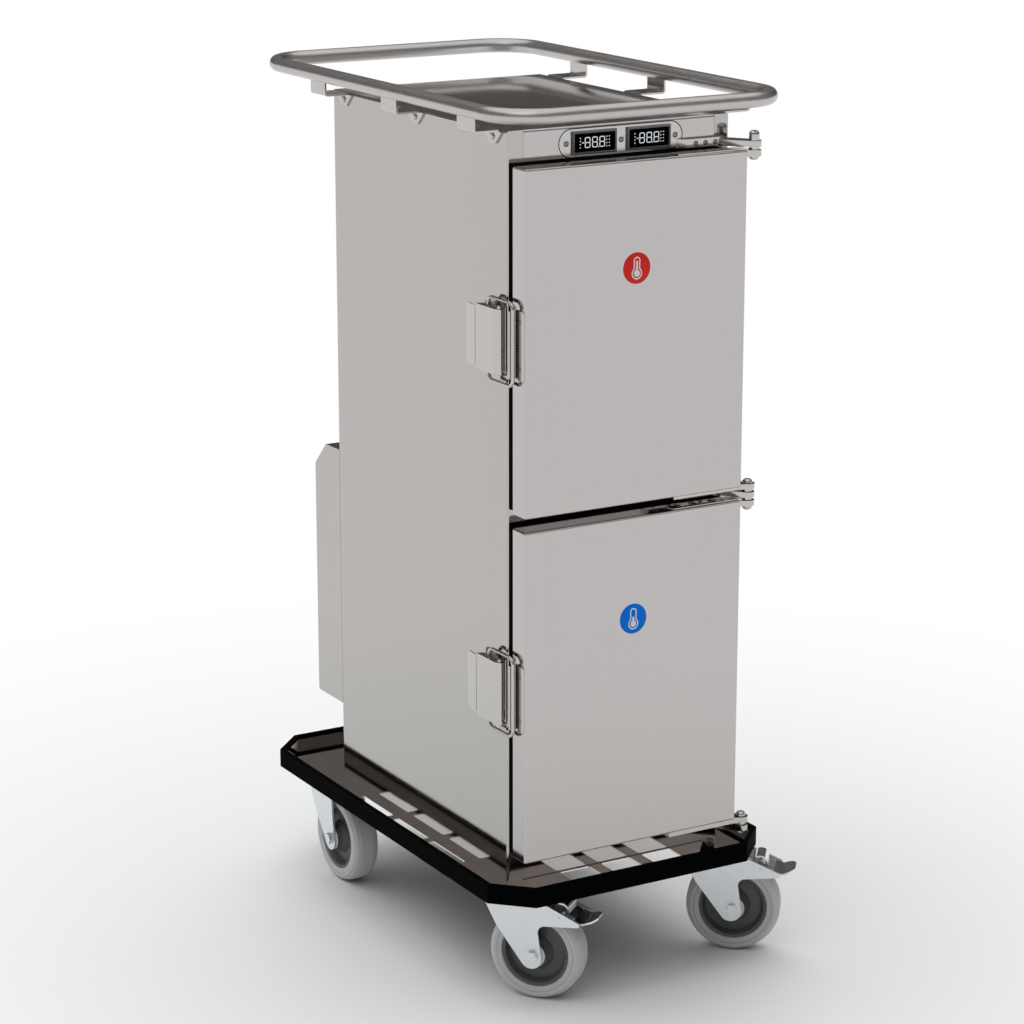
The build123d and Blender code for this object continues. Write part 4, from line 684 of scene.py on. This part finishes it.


# Chassis tray: thick stainless plate with raised runs and slots, on which the cabinet is bolted.
# It is almost mirror bright above and shows the walls in itself. Faces that look down are painted
# dark and dull as painted shade, so they throw little light onto the floor and the shadow under the
# trolley stays deep.
TRAY_GREY = (236, 229, 224)
TRAY_GRAIN = (300.0, 7.0, 300.0)
TRAY_LOOK = {"contrast": 0.04, "rough": 0.05, "spread": 0.04, "relief": 0.004}
# Painted shade: a dark, dull colour for the faces that look down, which deepens the floor's shadow.
UNDERSIDE_SHADE_DEEP = (16, 16, 17)
UNDERSIDE_SHADE_PALE = (30, 30, 31)
UNDERSIDE_SHADE_ROUGH = 0.85
UNDERSIDE_SHADE_SLOPE = -0.5
tray_steel = brushed_metal("tray_steel", TRAY_GREY, TRAY_GRAIN, **TRAY_LOOK)
tree = tray_steel.node_tree
shader = tree.nodes["Principled BSDF"]
bare = shader.inputs["Base Color"].links[0].from_socket
gloss = shader.inputs["Roughness"].links[0].from_socket
# Painted shade: faces whose normal points down take the dark colour in place of the bare steel.
underside_skin = {"Fine": MOTTLE_SCALE, "Slow": BLOOM_SCALE}
grain = add(tree, "Group", {"node_tree": mottle}, underside_skin).outputs["Grain"]
underside_shade = mix(tree, grain, shade(UNDERSIDE_SHADE_DEEP), shade(UNDERSIDE_SHADE_PALE))
facing = add(tree, "TexCoord", {}, {}).outputs["Normal"]
height = add(tree, "SeparateXYZ", {}, {"Vector": facing}).outputs["Z"]
under = calculate(tree, "LESS_THAN", height, UNDERSIDE_SHADE_SLOPE)
tone = mix(tree, under, bare, underside_shade)
dull = between(tree, under, (gloss, UNDERSIDE_SHADE_ROUGH))
metal = calculate(tree, "SUBTRACT", 1.0, under)
join(tree, shader.inputs, {"Base Color": tone, "Roughness": dull, "Metallic": metal})
dress(tray_steel, "chassis_tray")


# Castors: zinc-plated pressed plates and forks, each plate held up to the tray by four hexagon
# bolts with washers. The plating has a faint blue tint and a fine crystal pattern.
ZINC_PALE = (226, 230, 233)
ZINC_DEEP = (221, 225, 229)
SPANGLE_SCALE = 220.0
SPANGLE_ROUGH = (0.36, 0.41)
CASTOR_X = 190.8
CASTOR_Y = {"front": -325.15, "rear": 307.25}
BOLT_SPREAD = (43.0, 33.0)
PLATE_UNDER = 191.0
WASHER_R = 8.5
WASHER_TALL = 1.2
BOLT_R = 6.8
BOLT_TALL = 5.6
BOLT_CROWN = (6.0, 6.2, 0.6)
BOLT_RINGS = [
    (WASHER_R, 0.0, 0.0),
    (WASHER_R, WASHER_TALL, 0.0),
    (BOLT_R, WASHER_TALL, 1.0),
    (BOLT_R, BOLT_TALL, 1.0),
    BOLT_CROWN,
]
zinc, tree, shader = finish("zinc", {"Metallic": 1.0})
crystals = {"Vector": position(tree), "Scale": SPANGLE_SCALE}
flake = add(tree, "TexVoronoi", {}, crystals).outputs["Color"]
leaf = add(tree, "SeparateColor", {}, {"Color": flake}).outputs["Red"]
tint = mix(tree, leaf, shade(ZINC_DEEP), shade(ZINC_PALE))
dull = between(tree, leaf, SPANGLE_ROUGH)
join(tree, shader.inputs, {"Base Color": tint, "Roughness": dull})
dress(zinc, "castor_plates")
spots = [
    (side * CASTOR_X + a * BOLT_SPREAD[0], y + b * BOLT_SPREAD[1], PLATE_UNDER)
    for side in (-1, 1)
    for y in CASTOR_Y.values()
    for a in (-1, 1)
    for b in (-1, 1)
]
piece("castor_bolts", turned(spots, DOWN, BOLT_RINGS), zinc, "cabinet")


# Brake pedals: pressed steel treads pinned to the horns of the two front forks. They have a bright
# plated finish, scuffed a little all over.
PEDAL_GREY = (216, 216, 217)
PEDAL_GRAIN = (140.0, 140.0, 140.0)
PEDAL_LOOK = {"contrast": 0.12, "rough": 0.14, "spread": 0.12, "relief": 0.02}
pedal_steel = brushed_metal("pedal_steel", PEDAL_GREY, PEDAL_GRAIN, **PEDAL_LOOK)
dress(pedal_steel, "front_left_brake_pedal", "front_right_brake_pedal")


# Wheels: grey rubber tyres moulded round dark plastic rims, with a beige thread guard at the hub,
# each on an axle in its zinc-plated fork. A fine darker line runs round each tyre wall where the
# mould parts.
RIM_DEEP = (76, 76, 78)
RIM_PALE = (92, 92, 94)
RIM_SKIN = {"fine": 1100.0, "slow": 40.0, "rough": (0.34, 0.5), "relief": 0.08}
GUARD_BEIGE = (226, 214, 206)
GUARD_R = 0.0205
TYRE_DEEP = (202, 202, 206)
TYRE_PALE = (214, 214, 217)
TYRE_SKIN = {"fine": 800.0, "slow": 26.0, "rough": (0.62, 0.82), "relief": 0.14}
TYRE_LINE = (168, 168, 171)
TYRE_LINE_R = 0.0665
TYRE_LINE_HALF = 0.0007
CASTOR_TURN = {"front_left": 50.5, "front_right": 38.7, "rear_left": 90.0, "rear_right": 90.0}
TRAIL = 53.0
AXLE_Z = 80.0

# Radius about an axle: the length of the cross product of the axle's direction and the way from
# the hub.
about_axle, take, give = effect(
    "radius_about_axle", {"Hub": "Vector", "Axle": "Vector"}, {"Radius": "Float"}
)
ways = {0: position(about_axle), 1: take["Hub"]}
away = add(about_axle, "VectorMath", {"operation": "SUBTRACT"}, ways).outputs[0]
ways = {0: away, 1: take["Axle"]}
swept = add(about_axle, "VectorMath", {"operation": "CROSS_PRODUCT"}, ways).outputs[0]
reach = add(about_axle, "VectorMath", {"operation": "LENGTH"}, {0: swept}).outputs["Value"]
join(about_axle, give, {"Radius": reach})


def banded(skin, hub, axle, colour, limits):
    """A moulded skin with a second colour where the radius about the axle is between two limits: it
    differs from their middle by no more than half their distance."""
    made, tree, shader, tint = skin
    turns = add(tree, "Group", {"node_tree": about_axle}, {"Hub": hub, "Axle": axle}).outputs
    middle = (limits[0] + limits[1]) / 2.0
    half = (limits[1] - limits[0]) / 2.0
    within = calculate(tree, "COMPARE", turns["Radius"], middle, half)
    join(tree, shader.inputs, {"Base Color": mix(tree, within, tint, shade(colour))})
    return made


guard = (-GUARD_R, GUARD_R)
line = (TYRE_LINE_R - TYRE_LINE_HALF, TYRE_LINE_R + TYRE_LINE_HALF)
for corner, turn in CASTOR_TURN.items():
    end, side = corner.split("_")
    heading = np.radians(turn)
    swivel = np.array(((-1 if side == "left" else 1) * CASTOR_X, CASTOR_Y[end], AXLE_Z))
    hub = tuple((swivel + TRAIL * np.array((np.cos(heading), -np.sin(heading), 0.0))) * MM)
    axle = (np.sin(heading), np.cos(heading), 0.0)
    rim = moulded(corner + "_rim_plastic", RIM_DEEP, RIM_PALE, **RIM_SKIN)
    dress(banded(rim, hub, axle, GUARD_BEIGE, guard), corner + "_wheel_rim")
    tyre = moulded(corner + "_tyre_rubber", TYRE_DEEP, TYRE_PALE, **TYRE_SKIN)
    dress(banded(tyre, hub, axle, TYRE_LINE, line), corner + "_tyre")
    dress(zinc, corner + "_fork")


# Cooling unit: a folded sheet housing on the back wall with a louvred cover, held by eight screws.
# The housing and the cover are polished like the walls.
COVER_FACE = 334.75
COVER_MID = 526.2
COVER_REACH = 154.0
COVER_HEAD = 4.0
COVER_RISE = 1.6
COVER_STEPS = (-1, 0, 1)
TO_BACK = (0.0, 1.0, 0.0)
dress(shell_steel, "cooling_housing", "louvred_cover")
spots = [
    (a * COVER_REACH, COVER_FACE, COVER_MID + b * COVER_REACH)
    for a in COVER_STEPS
    for b in COVER_STEPS
    if a or b
]
heads = turned(spots, TO_BACK, socket_head(COVER_HEAD, COVER_RISE))
piece("cover_screws", heads, screw_steel, "cabinet")


# Power inlet, fan frame and impeller: black moulded plastic with a matt texture. The inlet is let
# into the cover, and the fan stands behind the louvres.
PLASTIC_BLACK = (26, 26, 27)
PLASTIC_PALE = (40, 40, 42)
PLASTIC_SKIN = {"fine": 1300.0, "slow": 60.0, "rough": (0.4, 0.58), "relief": 0.1}
black_plastic, *_ = moulded("black_plastic", PLASTIC_BLACK, PLASTIC_PALE, **PLASTIC_SKIN)
dress(black_plastic, "power_inlet", "fan_frame", "fan_impeller")


# Studio floor: a wide pale sheet under the castors. It takes the trolley's shadow and fades to
# plain white away from it.
FLOOR_HALF = 40.0
FLOOR_PALE = (232, 234, 233)
FLOOR_ROUGH = 0.9
FADE_START = 0.5
FADE_END = 2.1
HALF_BOUNCE = 0.5
WHITE = (1.0, 1.0, 1.0, 1.0)


def backdrop(name, points, faces):
    """An object of the studio, from points in metres and faces."""
    data = bpy.data.meshes.new(name)
    data.from_pydata(points, [], faces)
    made = bpy.data.objects.new(name, data)
    bpy.context.collection.objects.link(made)
    return made


def eased(tree, value, start, end):
    """A smooth step from 0 to 1 as a value runs from start to end."""
    feeds = {"Value": value, "From Min": start, "From Max": end}
    return add(tree, "MapRange", {"interpolation_type": "SMOOTHSTEP"}, feeds).outputs[0]


def plainly_seen(tree):
    """A mask that is 1 where the camera, a gloss or a clear pane sees the studio, and 0 for the
    light that falls on the trolley and after any dull bounce."""
    path = add(tree, "LightPath", {}, {}).outputs
    seen = calculate(tree, "MAXIMUM", path["Is Camera Ray"], path["Is Glossy Ray"])
    seen = calculate(tree, "MAXIMUM", seen, path["Is Transmission Ray"])
    first = calculate(tree, "LESS_THAN", path["Diffuse Depth"], HALF_BOUNCE)
    return calculate(tree, "MULTIPLY", seen, first)


corners = np.array(((-1, -1, 0), (1, -1, 0), (1, 1, 0), (-1, 1, 0))) * FLOOR_HALF
floor = backdrop("studio_floor", corners, [(0, 1, 2, 3)])
plain = {"Base Color": shade(FLOOR_PALE), "Roughness": FLOOR_ROUGH}
floor_paint, tree, shader = finish("studio_floor", plain)
far = add(tree, "VectorMath", {"operation": "LENGTH"}, {0: position(tree)}).outputs["Value"]
fade = eased(tree, far, FADE_START, FADE_END)
share = calculate(tree, "MULTIPLY", fade, plainly_seen(tree))
white = add(tree, "Emission", {}, {"Color": WHITE, "Strength": 1.0}).outputs[0]
blend = add(tree, "MixShader", {}, {"Fac": share, 1: shader.outputs[0], 2: white}).outputs[0]
join(tree, tree.nodes["Material Output"].inputs, {"Surface": blend})
floor.data.materials.append(floor_paint)


# Studio cloth: a dark tent round the trolley, a band of a sphere, open above and paler on the
# camera's side. The camera and the light pass through it, so only bright steel shows it, which
# keeps the tubes and the roof from washing out.
CLOTH_R = 9.0
CLOTH_RISE = (9.5, 48.0)
CLOTH_COUNT = (9, 72)
CLOTH_DEEP = (94, 90, 87)
CLOTH_PALE = (116, 112, 109)
CLOTH_SKIN = {"fine": 300.0, "slow": 0.25, "rough": (0.9, 0.95), "relief": 0.0}
CLOTH_NEAR = (166, 161, 158)
CLOTH_NEAR_WAY = (-0.62, -0.78, 0.0)
CLOTH_TURN = (-8.0, -2.0)


def sphere_band(radius, limits, count):
    """A band of a sphere between two angles of rise: x and y are the radius times the cosine of the
    rise times the cosine and the sine of the turn, and z is the radius times the sine of the rise.
    Quads join the grid, closed all round."""
    angles = np.radians(np.linspace(*limits, count[0]))
    rise, turn = np.meshgrid(angles, np.arange(count[1]) * 2.0 * np.pi / count[1], indexing="ij")
    level = np.cos(rise)
    points = np.stack((level * np.cos(turn), level * np.sin(turn), np.sin(rise)), axis=-1)
    number = np.arange(rise.size).reshape(rise.shape)
    after = np.roll(number, -1, axis=1)
    panels = np.stack((number[:-1], after[:-1], after[1:], number[1:]), axis=-1)
    return radius * points.reshape(-1, 3), panels.reshape(-1, 4).tolist()


cloth = backdrop("studio_cloth", *sphere_band(CLOTH_R, CLOTH_RISE, CLOTH_COUNT))
cloth.visible_camera = False
cloth.visible_shadow = False
cloth.visible_diffuse = False
weave, tree, shader, tint = moulded("studio_cloth", CLOTH_DEEP, CLOTH_PALE, **CLOTH_SKIN)
ways = {0: position(tree), 1: CLOTH_NEAR_WAY}
near = add(tree, "VectorMath", {"operation": "DOT_PRODUCT"}, ways).outputs["Value"]
tone = mix(tree, eased(tree, near, *CLOTH_TURN), tint, shade(CLOTH_NEAR))
join(tree, shader.inputs, {"Base Color": tone})
cloth.data.materials.append(weave)


# Studio light: a white surround, weak at the horizon and strong overhead and behind, which lays a
# deep shadow under the trolley, and one wide soft lamp above and to the left of the camera.
OVERHEAD = 2.45
OVERHEAD_POWER = 2.4
OVERHEAD_WAY = (0.0, 0.31, 0.951)
SOFT_SPOT = (-2.6, -2.4, 4.6)
SOFT_AIM = (0.0, 0.0, 0.6)
SOFT_SIZE = 3.2
SOFT_POWER = 14.0
world = bpy.data.worlds.new("studio")
world.use_nodes = True
bpy.context.scene.world = world
tree = world.node_tree
ways = {0: add(tree, "TexCoord", {}, {}).outputs["Generated"], 1: OVERHEAD_WAY}
lift = add(tree, "VectorMath", {"operation": "DOT_PRODUCT"}, ways).outputs["Value"]
steep = calculate(tree, "POWER", calculate(tree, "MAXIMUM", lift, 0.0), OVERHEAD_POWER)
glow = calculate(tree, "MULTIPLY", steep, OVERHEAD)
soft = add(tree, "Background", {}, {"Color": WHITE, "Strength": glow}).outputs[0]
plain = add(tree, "Background", {}, {"Color": WHITE, "Strength": 1.0}).outputs[0]
blend = add(tree, "MixShader", {}, {"Fac": plainly_seen(tree), 1: soft, 2: plain}).outputs[0]
join(tree, tree.nodes["World Output"].inputs, {"Surface": blend})
lamp_data = bpy.data.lights.new("soft_lamp", "AREA")
lamp_data.energy = SOFT_POWER
lamp_data.size = SOFT_SIZE
lamp = bpy.data.objects.new("soft_lamp", lamp_data)
lamp.location = SOFT_SPOT
lamp.rotation_euler = (Vector(SOFT_AIM) - Vector(SOFT_SPOT)).to_track_quat("-Z", "Y").to_euler()
bpy.context.collection.objects.link(lamp)


# Camera: stands to the left of the doors, a little above the roof, and looks down on the trolley
# through a long lens. The small shift sets the frame as the photograph has it.
CAMERA_SPOT = (-2.5708, -4.42755, 2.0931)
CAMERA_PITCH = 74.83
CAMERA_HEADING = -30.25
CAMERA_LENS = 109.03
CAMERA_SENSOR = 36.0
CAMERA_SHIFT = (-0.003445, 0.00548)
camera_data = bpy.data.cameras.new("camera")
camera_data.lens = CAMERA_LENS
camera_data.sensor_width = CAMERA_SENSOR
camera_data.shift_x, camera_data.shift_y = CAMERA_SHIFT
camera = bpy.data.objects.new("camera", camera_data)
camera.location = CAMERA_SPOT
camera.rotation_euler = np.radians((CAMERA_PITCH, 0.0, CAMERA_HEADING))
bpy.context.collection.objects.link(camera)
bpy.context.scene.camera = camera
bpy.context.scene.view_settings.view_transform = "Standard"
